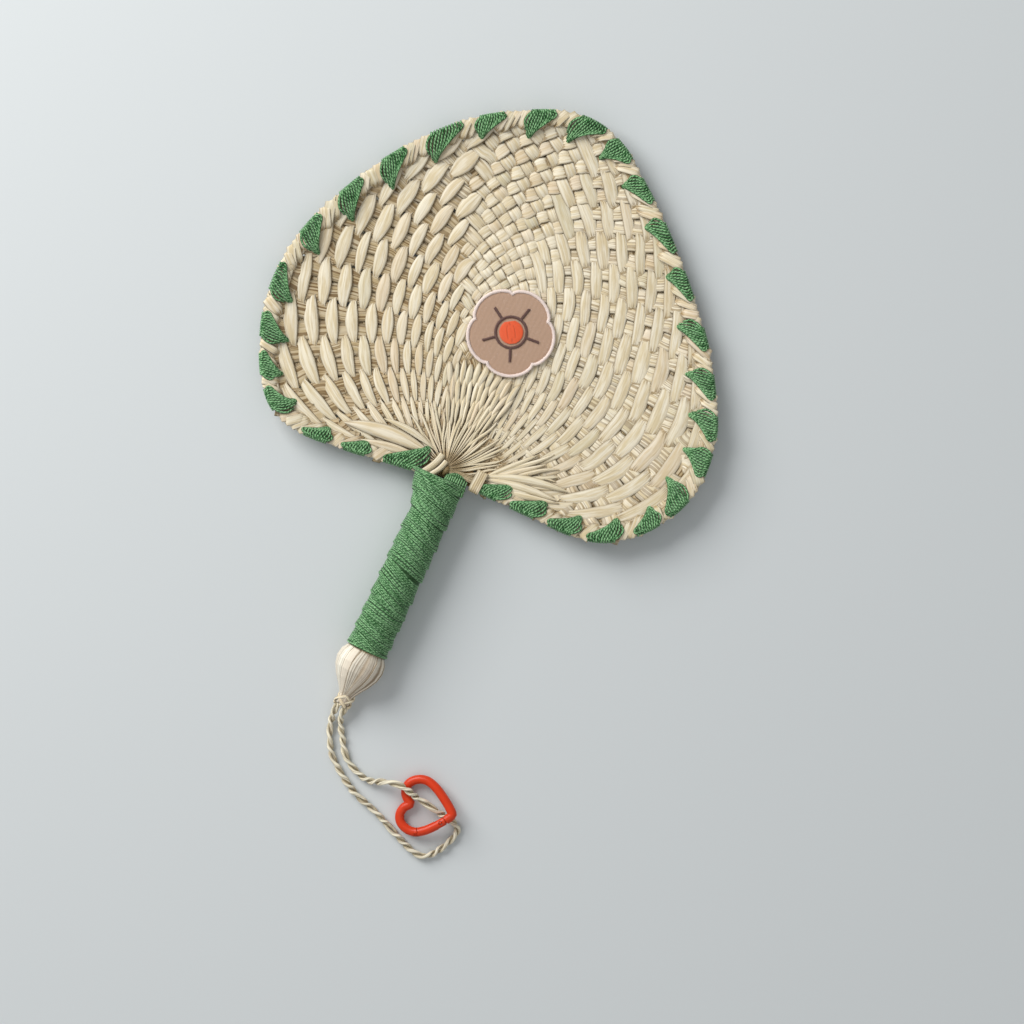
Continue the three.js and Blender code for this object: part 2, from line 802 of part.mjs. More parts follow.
// The route on the table, with the straight stretch through the ring, over one wire and under
// the other. Heights are measured to the cord's centre.
const swing_from = V(30.7, -136.3, 7.25);
const swing_to = V(60.1, -143.75, 1.7);
const cord_route = [
  exitPoint(1), exitStep(1, 1.9, neck_height), exitStep(1, 5.2, 3.5),
  V(-3.7, -121.6, 1.9), V(-0.9, -126.6, cord_rest),
  V(1.9, -131.6, cord_rest), V(4.6, -134.7, cord_rest), V(8.2, -137.0, cord_rest),
  V(13.3, -139.2, cord_rest), V(18.6, -139.7, 2.2), V(24.2, -137.6, 4.6), swing_from,
  swing_from.clone().lerp(swing_to, 0.35), swing_from.clone().lerp(swing_to, 0.7), swing_to,
  V(62.6, -146.6, cord_rest), V(61.5, -151.4, cord_rest), V(58.8, -156.2, cord_rest),
  V(55.8, -160.6, cord_rest), V(51.4, -162.9, cord_rest), V(47.2, -162.3, cord_rest),
  V(42.7, -160.6, cord_rest), V(37.8, -158.2, cord_rest), V(32.6, -155.8, cord_rest),
  V(28.2, -153.4, cord_rest), V(23.2, -151.2, cord_rest), V(18.0, -149.3, cord_rest),
  V(13.2, -147.3, cord_rest), V(8.2, -144.3, cord_rest), V(3.6, -140.9, cord_rest),
  V(-0.6, -137.4, cord_rest), V(-4.0, -133.2, cord_rest), V(-6.8, -127.5, cord_rest),
  V(-8.4, -122.1, 1.9), exitStep(-1, 5.2, 3.5), exitStep(-1, 1.9, neck_height),
  exitPoint(-1),
];

function cordGeometry() {
  const path = new THREE.CatmullRomCurve3(cord_route, false, "centripetal");
  path.arcLengthDivisions = cord_steps * 8;
  const section = new THREE.Shape();
  for (let k = 0; k < cord_sides; k++) {
    const angle = (2 * Math.PI * (k + 0.5)) / cord_sides;
    const x = cord_radius * Math.cos(angle);
    const y = cord_radius * Math.sin(angle);
    if (k === 0) section.moveTo(x, y);
    else section.lineTo(x, y);
  }
  section.closePath();
  return new THREE.ExtrudeGeometry(section,
    { steps: cord_steps, extrudePath: path, bevelEnabled: false });
}

// ---- Heart-shaped spring-gate ring ----

const heart_half = heart_shares.map(([a, b], k) =>
  [a * (k < 4 ? ring_lobe_reach : ring_point), b * ring_half_width]);
const heart_line = (() => {
  const upper = heart_half.map(([u, v]) => V(u, v));
  const lower = heart_half.slice(1, -1).reverse().map(([u, v]) => V(u, -v));
  const curve = new THREE.CatmullRomCurve3([...upper, ...lower], true, "centripetal");
  curve.arcLengthDivisions = 800;
  return curve;
})();
const heart_length = heart_line.getLength();

// A ring of the wire's section at a share of the way round the heart, from the notch.
function wireSection(share, radius, sides = ring_sides) {
  const p = heart_line.getPointAt(((share % 1) + 1) % 1);
  const t = heart_line.getTangentAt(((share % 1) + 1) % 1);
  const ring = [];
  for (let k = 0; k < sides; k++) {
    const angle = (2 * Math.PI * (k + 0.5)) / sides;
    const out = radius * Math.cos(angle);
    ring.push(ringPoint(p.x - t.y * out, p.y + t.x * out, radius * Math.sin(angle)));
  }
  return ring;
}

function wireSolid(from, to, radius, steps) {
  const rings = [];
  for (let k = 0; k <= steps; k++) rings.push(wireSection(mix(from, to, k / steps), radius));
  return toSolid(loft(rings));
}

// A box in the ring's plane, turned along the wire at one share: length, depth and height ranges.
function wireBox(share, alongRange, outRange, liftRange) {
  const p = heart_line.getPointAt(share);
  const t = heart_line.getTangentAt(share);
  const corner = (a, b, c) =>
    ringPoint(p.x + t.x * a - t.y * b, p.y + t.y * a + t.x * b, c);
  const rings = alongRange.map((a) => [
    corner(a, outRange[0], liftRange[0]), corner(a, outRange[1], liftRange[0]),
    corner(a, outRange[1], liftRange[1]), corner(a, outRange[0], liftRange[1]),
  ]);
  return toSolid(loft(rings));
}

function wireCylinder(share, shift, radius, liftRange, sides) {
  const p = heart_line.getPointAt(share);
  const t = heart_line.getTangentAt(share);
  const rings = liftRange.map((lift) => {
    const ring = [];
    for (let k = 0; k < sides; k++) {
      const angle = (2 * Math.PI * k) / sides;
      ring.push(ringPoint(p.x + t.x * shift + radius * Math.cos(angle),
        p.y + t.y * shift + radius * Math.sin(angle), lift));
    }
    return ring;
  });
  return toSolid(loft(rings));
}

const hinge_seam = gate_from_share;
const free_seam = gate_to_share;
const heartShare = (length) => length / heart_length;
const pin_share = hinge_seam + heartShare(pin_from_seam);
const pin_reach = heart_line.getPointAt(free_seam).distanceTo(heart_line.getPointAt(pin_share));
const wire_top = ring_wire_radius + pin_proud;
// The slot's end clears the tongue's corner as the gate turns about the pin.
const slot_length = pin_from_seam + tongue_clearance
  + Math.hypot(tongue_length - pin_from_seam, tongue_height / 2);
const bore_share = hinge_seam + heartShare(slot_length - gate_gap + gate_bore_length / 2);

function carabinerSolids() {
  const r = ring_wire_radius;
  const big = r + cut_overrun;
  const all = [-big, big];
  const aboutPin = (radius, sides = 48) => wireCylinder(pin_share, 0, radius, all, sides);
  const pin_hole = aboutPin(pin_diameter / 2 + pin_clearance, 8);
  const outer = (from) => wireBox(free_seam, [-big, big], [from, big], all);

  // The seams at the free end are arcs about the pin, so the gate turns in clear of the nose.
  // The nose keeps an outer lip that stops the gate from the outside.
  const nose = wireSolid(free_seam - heartShare(2 * lip_length), free_seam + heartShare(r), r, 4);
  const lip = nose.intersect(outer(gate_gap)).subtract(aboutPin(pin_reach - lip_length + gate_gap));
  const tongue = wireBox(hinge_seam, [-pin_from_seam, tongue_length],
    [-tongue_height / 2, tongue_height / 2], [-tongue_thickness / 2, tongue_thickness / 2]);
  const body = wireSolid(free_seam + heartShare(r) / 2, 1 + hinge_seam - heartShare(gate_gap), r, 34)
    .add(nose.subtract(aboutPin(pin_reach + gate_gap)))
    .add(lip).add(tongue).subtract(pin_hole);

  // The gate: rounded about the pin at one end, half cut away under the lip at the other.
  const behind = wireBox(pin_share, [-big, 0], all, all).subtract(aboutPin(pin_from_seam));
  const slot_half = tongue_thickness / 2 + tongue_clearance;
  const slot = wireBox(hinge_seam, [-big, slot_length], all, [-slot_half, slot_half]);
  const bore = toSolid(loft([-1, 1].map((end) => Array.from({ length: 12 }, (_, k) => {
    const angle = (2 * Math.PI * k) / 12;
    const radius = gate_bore / 2;
    return borePoint((end * gate_bore_length) / 2, radius * Math.cos(angle),
      radius * Math.sin(angle));
  }))));
  const gate = wireSolid(hinge_seam, free_seam + heartShare(r), r, 9)
    .intersect(aboutPin(pin_reach)).subtract(behind).subtract(slot).subtract(pin_hole)
    .subtract(outer(0).subtract(aboutPin(pin_reach - lip_length))).subtract(bore);
  const pin = wireCylinder(pin_share, 0, pin_diameter / 2, [-wire_top, wire_top], 12);
  return { body: largestBody(body), gate: largestBody(gate), pin };
}

// A point inside the gate's bore: distance along it from its middle, out and up.
function borePoint(a, out, lift) {
  const p = heart_line.getPointAt(bore_share);
  const t = heart_line.getTangentAt(bore_share);
  return ringPoint(p.x + t.x * a - t.y * out, p.y + t.y * a + t.x * out, lift);
}

function springRings(from) {
  const coil = gate_bore / 2 - bore_clearance - spring_wire / 2;
  const steps = 8;
  const rings = [];
  for (let k = 0; k <= spring_turns * steps; k++) {
    const angle = (2 * Math.PI * k) / steps;
    const a = from + (spring_pitch * k) / steps;
    const ring = [];
    for (let m = 0; m < 5; m++) {
      const phi = (2 * Math.PI * m) / 5;
      const r = coil + (spring_wire / 2) * Math.cos(phi);
      ring.push(borePoint(a + (spring_wire / 2) * Math.sin(phi),
        r * Math.cos(angle), r * Math.sin(angle)));
    }
    rings.push(ring);
  }
  return rings;
}

function plungerGeometry(from) {
  const r = gate_bore / 2 - bore_clearance;
  return loft([from, from + plunger_length].map((a) => {
    const ring = [];
    for (let k = 0; k < 10; k++) {
      const angle = (2 * Math.PI * k) / 10;
      ring.push(borePoint(a, r * Math.cos(angle), r * Math.sin(angle)));
    }
    return ring;
  }));
}

// ---- Flower patch ----

const patch_bottom = 2 * weave_half + patch_seat_gap;

function flowerOutline(scale, inset) {
  const points = [];
  for (let k = 0; k < patch_steps; k++) {
    const angle = (2 * Math.PI * k) / patch_steps;
    const wave = Math.abs(Math.cos((patch_petals * angle) / 2));
    const r = scale * (1 - patch_scallop_share + patch_scallop_share * Math.sqrt(wave)) - inset;
    const at = angle - patch_turn * deg + Math.PI / 2;
    points.push(new THREE.Vector2(patch_centre[0] + r * Math.cos(at),
      patch_centre[1] + r * Math.sin(at)));
  }
  return points;
}

function slab(outer, inner, bottom, height) {
  const shape = new THREE.Shape(outer);
  if (inner) shape.holes.push(new THREE.Path(inner));
  const g = new THREE.ExtrudeGeometry(shape, { depth: height, bevelEnabled: false });
  g.translate(0, 0, bottom);
  return g;
}

function stitchOutline() {
  const points = [];
  const w = stitch_line_half_width;
  const reach = patch_radius * stitch_reach_share;
  const opening = Math.asin(w / stitch_ring_radius);
  const petal = (2 * Math.PI) / patch_petals;
  for (let k = 0; k < patch_petals; k++) {
    const a = Math.PI / 2 - patch_turn * deg + k * petal;
    const dir = V(Math.cos(a), Math.sin(a));
    const side = V(-dir.y, dir.x);
    const foot = Math.sqrt(stitch_ring_radius ** 2 - w ** 2);
    for (const [r, s] of [[foot, -w], [reach, -w * 0.7], [reach + w, 0], [reach, w * 0.7],
      [foot, w]]) {
      points.push(new THREE.Vector2(patch_centre[0] + dir.x * r + side.x * s,
        patch_centre[1] + dir.y * r + side.y * s));
    }
    for (let m = 1; m < 5; m++) {
      const b = a + opening + ((petal - 2 * opening) * m) / 5;
      points.push(new THREE.Vector2(patch_centre[0] + stitch_ring_radius * Math.cos(b),
        patch_centre[1] + stitch_ring_radius * Math.sin(b)));
    }
  }
  return points;
}

function circlePoints(radius, count) {
  return Array.from({ length: count }, (_, k) => {
    const angle = (2 * Math.PI * k) / count;
    return new THREE.Vector2(patch_centre[0] + radius * Math.cos(angle),
      patch_centre[1] + radius * Math.sin(angle));
  });
}

// ---- The scene graph ----

const finish = (color, roughness, metalness = 0) =>
  new THREE.MeshStandardMaterial({ color, roughness, metalness });
const palm_light = finish(0xdbcfa8, 0.7);
const palm_dark = finish(0xcbb98c, 0.75);
const cotton_green = finish(0x3f8f58, 0.85);
const enamel_red = finish(0xd8401f, 0.25, 0.3);
const steel = finish(0xb9bcc0, 0.35, 0.9);
const cloth_tan = finish(0xc9a58a, 0.95);
const thread_cream = finish(0xecd9d0, 0.9);
const thread_brown = finish(0x5a3a30, 0.9);
const thread_orange = finish(0xe2571f, 0.85);

const fan = new THREE.Group();
const blade = new THREE.Group();
const handle = new THREE.Group();
const loop = new THREE.Group();
const patch = new THREE.Group();
const content = new THREE.Group();
content.add(blade, handle, patch, loop);
fan.add(content);

function add(group, name, geometry, material) {
  const mesh = new THREE.Mesh(geometry, material);
  mesh.name = name;
  group.add(mesh);
  return mesh;
}
const two = (n) => String(n + 1).padStart(2, "0");

for (let k = 0; k < strips_per_family; k++) {
  const left = finishStrip(stripSolid(crossings, k, 0));
  if (left) add(blade, "left_strip_" + two(k), toGeometry(left), palm_light);
  const right = finishStrip(stripSolid(crossings_right, k, 1));
  if (right) add(blade, "right_strip_" + two(k), toGeometry(right), palm_dark);
}
add(blade, "rim_edging", edgingGeometry(), palm_light);
const lashing = lashingRings();
add(blade, "rim_lashing", loft(lashing), cotton_green);
add(blade, "throat_tie", tieGeometry(), palm_dark);
const heart_solid = largestBody(toSolid(heartGeometry()).add(toSolid(stemGeometry())));
add(blade, "leaf_base", toGeometry(heart_solid), palm_dark);

add(handle, "handle_core", coreGeometry(), palm_dark);
const wrap = wrapRings();
add(handle, "handle_wrap", loft(wrap), cotton_green);
add(handle, "palm_bulb", bulbGeometry(), palm_light);
const knot = knotGeometry();
add(handle, "loop_knot", loft(knot), palm_dark);

add(loop, "wrist_loop", cordGeometry(), palm_dark);
const ring = carabinerSolids();
add(loop, "carabiner_body", toGeometry(ring.body), enamel_red);
add(loop, "carabiner_gate", toGeometry(ring.gate), enamel_red);
add(loop, "carabiner_pin", toGeometry(ring.pin), steel);
const spring_length = spring_turns * spring_pitch;
const spring_from = gate_bore_length / 2 - bore_clearance - spring_wire / 2 - spring_length;
const spring = springRings(spring_from);
add(loop, "carabiner_spring", loft(spring), steel);
add(loop, "carabiner_plunger",
  plungerGeometry(spring_from - spring_wire / 2 - plunger_gap - plunger_length), steel);

const patch_top = patch_bottom + patch_cloth_thickness;
add(patch, "patch_cloth",
  slab(flowerOutline(patch_radius, patch_border_width + stitch_gap), null, patch_bottom,
    patch_cloth_thickness), cloth_tan);
add(patch, "patch_border",
  slab(flowerOutline(patch_radius, 0), flowerOutline(patch_radius, patch_border_width),
    patch_bottom, patch_border_height), thread_cream);
add(patch, "patch_petal_lines",
  slab(stitchOutline(), circlePoints(flower_eye_radius + stitch_gap, 24),
    patch_top + stitch_gap, stitch_height), thread_brown);
add(patch, "patch_flower_eye",
  slab(circlePoints(flower_eye_radius, 24), null, patch_top + stitch_gap,
    flower_eye_height), thread_orange);

// The origin is under the middle of the fan itself, at the surface that it lies on.
const bounds = new THREE.Box3();
for (const group of [blade, handle, patch]) bounds.expandByObject(group);
const middle = bounds.getCenter(V(0, 0));
content.position.set(-middle.x, -middle.y, -bounds.min.z);

console.log("least gap of the lashing to itself", leastGap(lashing, 6).toFixed(2),
  "of the wrap", leastGap(wrap, wrap_steps / 2).toFixed(2),
  "of the knot", leastGap(knot, 8).toFixed(2),
  "of the spring", leastGap(spring, 5).toFixed(2));

export default fan;
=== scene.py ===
"""Hand-woven palm leaf fan: the looks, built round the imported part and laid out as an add-on."""

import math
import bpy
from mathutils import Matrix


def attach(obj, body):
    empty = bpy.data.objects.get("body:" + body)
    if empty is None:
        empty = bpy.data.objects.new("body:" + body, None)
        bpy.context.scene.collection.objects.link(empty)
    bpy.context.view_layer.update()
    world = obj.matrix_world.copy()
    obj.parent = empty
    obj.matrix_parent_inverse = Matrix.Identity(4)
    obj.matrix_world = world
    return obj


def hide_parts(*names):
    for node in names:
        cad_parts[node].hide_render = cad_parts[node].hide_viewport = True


bl_info = {
    "name": "Palm Leaf Fan",
    "version": (1, 0, 0),
    "blender": (4, 5, 0),
    "location": "View3D > Sidebar > Palm Fan",
    "description": "Builds a woven palm leaf fan with a laced rim, a wrapped handle and a wrist loop",
    "category": "Object",
}

from functools import cache

import bmesh
import bpy
import numpy as np
from bpy.props import FloatProperty, FloatVectorProperty, IntProperty, PointerProperty
from bpy.types import Operator, Panel, PropertyGroup
from mathutils import Vector

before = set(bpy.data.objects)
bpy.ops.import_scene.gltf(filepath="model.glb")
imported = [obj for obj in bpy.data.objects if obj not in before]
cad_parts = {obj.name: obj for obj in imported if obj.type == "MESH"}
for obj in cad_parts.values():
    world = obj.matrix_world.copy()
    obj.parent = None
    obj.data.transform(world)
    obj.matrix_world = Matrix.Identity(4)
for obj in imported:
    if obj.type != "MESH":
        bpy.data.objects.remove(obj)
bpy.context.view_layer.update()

MM = 0.001
# Where the throat of the fan lies in the part's frame, in mm. All tables below are measured from it.
THROAT = np.array([-1.1419, -30.4714, 0.0])

# Measures shared with the solid part, in mm or as shares of the blade

BLADE_LENGTH = 173.0
BLADE_HALF_WIDTH = 106.0
BLADE_DISH = 8.4
DISH_POWER = 1.4
DISH_FLAT_SHARE = 0.42
DISH_CENTRE = np.array([-0.03 * BLADE_HALF_WIDTH, 0.46 * BLADE_LENGTH])
WEAVE_HALF = 0.71
EDGING_TOP = 1.98
HANDLE_LENGTH = 86.0
HANDLE_HEIGHT = 9.9
HANDLE_TILT = math.atan2(5.1, 86.0)
WRAP_RADIUS = 9.9
WRAP_FLARE = 2.9
WRAP_FLARE_OFFSET = 2.6
WRAP_FLARE_LENGTH = 20.0
WRAP_PITCH = 8.3
WRAP_SLANT = 3.4
WRAP_TOP = 1.2
BULB_TOP = 86.35
BULB_LENGTH = 21.5
NECK_LENGTH = 4.2
NECK_END = BULB_TOP + BULB_LENGTH + NECK_LENGTH
NECK_HEIGHT = 5.0
CORD_DIAMETER = 3.2
CORD_REST = 1.63
WIRE_RADIUS = 2.05
PATCH_CENTRE = np.array([2.7, 71.7])
PATCH_RADIUS = 20.5
PATCH_TURN = math.radians(17)
PATCH_GAP = 0.32
PATCH_THICKNESS = 0.9

# The view of the photograph, straight down: its place in metres, the lens in mm and the turn.

CAMERA_PLACE = (0.03168, -0.03399, 1.2)
CAMERA_LENS = 93.36
CAMERA_TURN = math.radians(21.5)
FLOOR_HALF = 3.0
FLOOR_LEVEL = -0.0002

OUTLINE_SHARES = [
    [-0.151, -0.014], [-0.27, -0.02], [-0.469, -0.029], [-0.652, -0.029], [-0.782, -0.004],
    [-0.868, 0.051], [-0.942, 0.145], [-0.988, 0.259], [-0.983, 0.386], [-0.943, 0.48],
    [-0.851, 0.6], [-0.74, 0.711], [-0.601, 0.814], [-0.43, 0.903], [-0.242, 0.965],
    [-0.081, 0.998], [0.057, 0.998], [0.193, 0.964], [0.326, 0.898], [0.467, 0.82],
    [0.609, 0.728], [0.726, 0.645], [0.832, 0.559], [0.918, 0.468], [0.988, 0.373],
    [1.011, 0.28], [0.998, 0.193], [0.928, 0.104], [0.816, 0.029], [0.704, -0.009],
    [0.575, -0.021], [0.389, -0.015], [0.248, -0.01], [0.144, -0.004],
]
LEFT_GUIDE_SHARES = [
    [-0.156, 1.612], [-0.441, 1.487], [-0.683, 1.297], [-0.878, 1.068], [-1.007, 0.842],
    [-1.076, 0.601], [-1.085, 0.389], [-1.047, 0.245], [-0.981, 0.135], [-0.9, 0.051],
    [-0.805, -0.004], [-0.652, -0.029], [-0.469, -0.029], [-0.27, -0.02], [-0.151, -0.014],
]
RIGHT_GUIDE_SHARES = [
    [-0.156, 1.612], [0.098, 1.444], [0.294, 1.267], [0.474, 1.087], [0.618, 0.926],
    [0.747, 0.762], [0.872, 0.596], [0.973, 0.453], [1.023, 0.339], [1.026, 0.228],
    [0.946, 0.111], [0.819, 0.024], [0.705, -0.011], [0.578, -0.026], [0.39, -0.018],
    [0.248, -0.01], [0.144, -0.004],
]
HEART_SHARES = [
    [0, 0], [-0.68, 0.2], [-1, 0.47], [-0.7, 0.76], [0.046, 0.957], [0.245, 1], [0.46, 0.857],
    [0.673, 0.588], [0.857, 0.303], [0.97, 0.09], [1, 0],
]
# Each wrap of the lashing on the front: where along the rim its outer and inner ends start and
# stop, and how far in it reaches, in mm.
WRAPS = [
    (0, 13.5, -7.5, 1.5, 12), (22, 32, 19.5, 29, 6.5), (40, 51, 38, 48.5, 6.5),
    (68, 78.5, 60, 73, 10.5), (85, 95, 82, 89.5, 9), (102.5, 113.5, 99, 106.5, 12),
    (124, 137.5, 119.5, 128, 11), (153, 165, 148.5, 156, 12),
    (178, 190, 172.5, 180, 12.5), (202, 214, 197.5, 203, 13),
    (227, 242.5, 221.5, 230, 12), (250.5, 262, 247, 254, 9.5),
    (274, 285, 270, 277.5, 11.5), (297, 310, 291, 300, 12.5),
    (316, 327.5, 315, 322, 11), (337, 348.5, 334, 341.5, 9),
    (359, 373.5, 355, 364, 8.5), (382.5, 396, 380, 388.5, 8),
    (409.5, 419.5, 403, 412, 10.5), (431, 442, 427, 434, 11.5),
    (450, 461, 445.5, 455, 12), (467, 478, 466, 474, 12.5),
    (490.5, 502, 486, 495, 14), (507.5, 519, 505, 513.5, 9),
    (529, 542, 523, 535, 9.5), (549.5, 561, 545, 555, 9),
    (568, 579.5, 563, 573, 9), (586.5, 597, 580, 589, 9.5),
]


def paint(text):
    """A display colour such as D7CDAA as linear red, green and blue."""
    shares = [int(text[k:k + 2], 16) / 255 for k in (0, 2, 4)]
    return tuple(s / 12.92 if s <= 0.04045 else ((s + 0.055) / 1.055) ** 2.4 for s in shares)


def colour_property(name, text, description):
    return FloatVectorProperty(name=name, description=description, subtype="COLOR", size=3,
                               min=0.0, max=1.0, default=paint(text))


class FanSizes(PropertyGroup):
    """Sizes of the dressed fan that may be changed before it is built."""

    strips_per_family: IntProperty(name="Strips per family", default=44, min=16, max=60,
                                   description="Palm strips that start on each side of the throat")
    weave_lift: FloatProperty(name="Weave lift", default=0.5 * MM, unit="LENGTH",
                              description="Height of a strip over the blade where it passes over")
    float_crown: FloatProperty(name="Float crown", default=0.42 * MM, unit="LENGTH",
                               description="Rise of a strip's middle over its edges where it shows")
    threads_per_wrap: IntProperty(name="Threads per wrap", default=11, min=5, max=20,
                                  description="Cotton threads in each turn of the rim lashing")
    lashing_thread: FloatProperty(name="Lashing thread", default=0.52 * MM, unit="LENGTH",
                                  description="Radius of a thread of the rim lashing")
    slip_spacing: FloatProperty(name="Rim slip spacing", default=3.3 * MM, unit="LENGTH",
                                description="Distance between folded slips along the rim")
    cord_twist: FloatProperty(name="Loop twist", default=11.7 * MM, unit="LENGTH",
                              description="Length of one full turn of the wrist loop's plies")
    stitch_spacing: FloatProperty(name="Stitch spacing", default=0.4 * MM, unit="LENGTH",
                                  description="Distance between satin stitches round the patch")


class FanColours(PropertyGroup):
    """Colours of the dressed fan that may be changed before it is built."""

    palm_light: colour_property("Palm light", "F2E8D0", "Crowns of the palm strips")
    palm_mid: colour_property("Palm middle", "D6C297", "Flat palm strips")
    palm_dark: colour_property("Palm dark", "AC8C4E", "Palm strips in their own shade")
    palm_vein: colour_property("Palm vein", "70501F", "Brown lines along the leaf")
    cotton: colour_property("Cotton", "1F5926", "Green cotton of the lashing and the handle")
    # Cotton light also paints a faint highlight on the threads, and cotton dark paints the shade in their
    # creases and on their shaded sides.
    cotton_light: colour_property("Cotton light", "AADEA2", "Raised fibres of the green cotton")
    cotton_dark: colour_property("Cotton dark", "1A3B19", "Creases between green threads")
    enamel: colour_property("Enamel", "D43A12", "Ring enamel")
    cloth: colour_property("Patch cloth", "C9A58A", "Twill of the patch")
    satin_pale: colour_property("Pale satin", "ECD9D0", "Border stitches of the patch")
    satin_brown: colour_property("Brown satin", "5A3A30", "Line stitches of the patch")
    satin_orange: colour_property("Orange satin", "E2571F", "Filled stitches of the patch")
    floor: colour_property("Floor", "CFD3D3", "Plain floor under the fan")


def sizes():
    return bpy.context.scene.fan_sizes


def colour(name):
    return (*getattr(bpy.context.scene.fan_colours, name), 1.0)


# Curves and the dished blade surface


def place(points):
    """Points measured in mm from the throat, in the part's frame in metres."""
    return (np.asarray(points, float) + THROAT) * MM


def curve_through(points, per_span=24, closed=False):
    """A smooth centripetal curve through given points."""
    p = np.asarray(points, float)
    ends = (p[-1:], p[:2]) if closed else (2 * p[:1] - p[1:2], 2 * p[-1:] - p[-2:-1])
    ext = np.vstack([ends[0], p, ends[1]])
    t = np.linspace(0, 1, per_span, endpoint=False)[:, None]
    out = []
    for k in range(len(p) if closed else len(p) - 1):
        a, b, c, d = ext[k:k + 4]
        da, db, dc = (np.linalg.norm(q) ** 0.5 for q in (b - a, c - b, d - c))
        m1 = ((b - a) / da - (c - a) / (da + db) + (c - b) / db) * db
        m2 = ((c - b) / db - (d - b) / (db + dc) + (d - c) / dc) * db
        out.append(b + m1 * t + (3 * (c - b) - 2 * m1 - m2) * t ** 2
                   + (2 * (b - c) + m1 + m2) * t ** 3)
    out.append(p[:1] if closed else p[-1:])
    return np.vstack(out)


def lengths_along(line):
    return np.r_[0, np.cumsum(np.linalg.norm(np.diff(line, axis=0), axis=1))]


def at_length(line, s):
    """Points of a line at distances along it."""
    d = lengths_along(line)
    return np.column_stack([np.interp(s, d, line[:, k]) for k in range(line.shape[1])])


def spaced(line, count):
    return at_length(line, np.linspace(0, lengths_along(line)[-1], count))


def ease(x):
    t = np.clip(x, 0, 1)
    return t * t * (3 - 2 * t)


def from_shares(table):
    return np.array(table) * [BLADE_HALF_WIDTH, BLADE_LENGTH]


outline = spaced(curve_through(from_shares(OUTLINE_SHARES)), 421)
outline_length = lengths_along(outline)[-1]
outline_tangent = np.gradient(outline, axis=0)
outline_tangent /= np.linalg.norm(outline_tangent, axis=1)[:, None]


def dish_table(directions=120, reach=3):
    """The outline's distance from the dish's centre by direction, with its corners rounded off."""
    d = outline - DISH_CENTRE
    angle = np.arctan2(d[:, 1], d[:, 0])
    order = np.argsort(angle)
    steps = np.arange(directions)
    total = np.zeros(directions)
    for m in range(-3, 4):
        at = 2 * math.pi * (steps + m * reach) / directions
        total += np.interp(at, angle[order], np.linalg.norm(d, axis=1)[order], period=2 * math.pi)
    return total / 7


dish_radii = dish_table()


def blade_height(x, y):
    """Height in mm of the weave's middle plane: flat round the centre, rising to the rim."""
    dx, dy = np.asarray(x) - DISH_CENTRE[0], np.asarray(y) - DISH_CENTRE[1]
    angle = np.arctan2(dy, dx)
    directions = np.arange(len(dish_radii)) * 2 * math.pi / len(dish_radii)
    radius = np.interp(angle, directions, dish_radii, period=2 * math.pi)
    out = np.clip((np.hypot(dx, dy) / radius - DISH_FLAT_SHARE) / (1 - DISH_FLAT_SHARE), 0, 2)
    rise = np.where(out <= 1, out ** DISH_POWER, 1 + DISH_POWER * (out - 1))
    return WEAVE_HALF + BLADE_DISH * rise


def rim_point(distance, inset, height):
    """Points by distance along the rim, distance in from it and height over the blade, in mm."""
    distance, inset, height = np.broadcast_arrays(*(np.asarray(v, float)
                                                    for v in (distance, inset, height)))
    at = np.linspace(0, outline_length, len(outline))
    xy = np.column_stack([np.interp(distance, at, outline[:, k]) for k in (0, 1)])
    t = np.column_stack([np.interp(distance, at, outline_tangent[:, k]) for k in (0, 1)])
    t /= np.linalg.norm(t, axis=1)[:, None]
    xy = xy + np.column_stack([t[:, 1], -t[:, 0]]) * inset[:, None]
    xy = xy + t * (distance - np.clip(distance, 0, outline_length))[:, None]
    return np.column_stack([xy, blade_height(xy[:, 0], xy[:, 1]) + height])


def inside_outline(points, inset):
    """Whether points lie inside the blade's outline, moved in by a distance in mm."""
    ring = rim_point(np.linspace(0, outline_length, 300), inset, 0)[:, :2]
    x, y = points[:, 0, None], points[:, 1, None]
    a, b = ring, np.roll(ring, -1, axis=0)
    crosses = (a[:, 1] > y) != (b[:, 1] > y)
    step = np.where(b[:, 1] == a[:, 1], 1e-9, b[:, 1] - a[:, 1])
    hits = crosses & (x < (b[:, 0] - a[:, 0]) * (y - a[:, 1]) / step + a[:, 0])
    return hits.sum(1) % 2 == 1


def relaxed_net(cells=96, rounds=320):
    """The net whose lines are the strips' paths, settled between the outermost two and the throat."""
    share = np.arange(cells + 1) / cells

    def edge(table):
        line = spaced(curve_through(from_shares(table)), 601)
        return at_length(line, share ** 1.5 * lengths_along(line)[-1])

    def arc(start):
        angle = math.atan2(start[0], start[1])
        q = share ** 0.77
        r = np.hypot(*start) * (1 - q) + 11.0 * q
        return np.column_stack([r * np.sin(angle * (1 - q)), r * np.cos(angle * (1 - q))])

    left, right = edge(LEFT_GUIDE_SHARES), edge(RIGHT_GUIDE_SHARES)
    left_arc, right_arc = arc(left[-1]), arc(right[-1])
    u, v = share[:, None, None], share[None, :, None]
    net = (left[None] * (1 - u) + right_arc[None] * u
           + right[:, None] * (1 - v) + left_arc[:, None] * v
           - left[0] * (1 - u) * (1 - v) - right[-1] * u * (1 - v)
           - left[-1] * (1 - u) * v - left_arc[-1] * u * v)
    i, j = np.indices((cells + 1, cells + 1))
    inner = (i > 0) & (i < cells) & (j > 0) & (j < cells)
    pull = 2 / (1 + math.sin(math.pi / cells))
    for _ in range(rounds):
        for colour_of in (0, 1):
            mean = np.zeros_like(net)
            mean[1:-1, 1:-1] = (net[:-2, 1:-1] + net[2:, 1:-1] + net[1:-1, :-2] + net[1:-1, 2:]) / 4
            mask = inner & ((i + j) % 2 == colour_of)
            net[mask] += pull * (mean[mask] - net[mask])
    return net


net = relaxed_net()


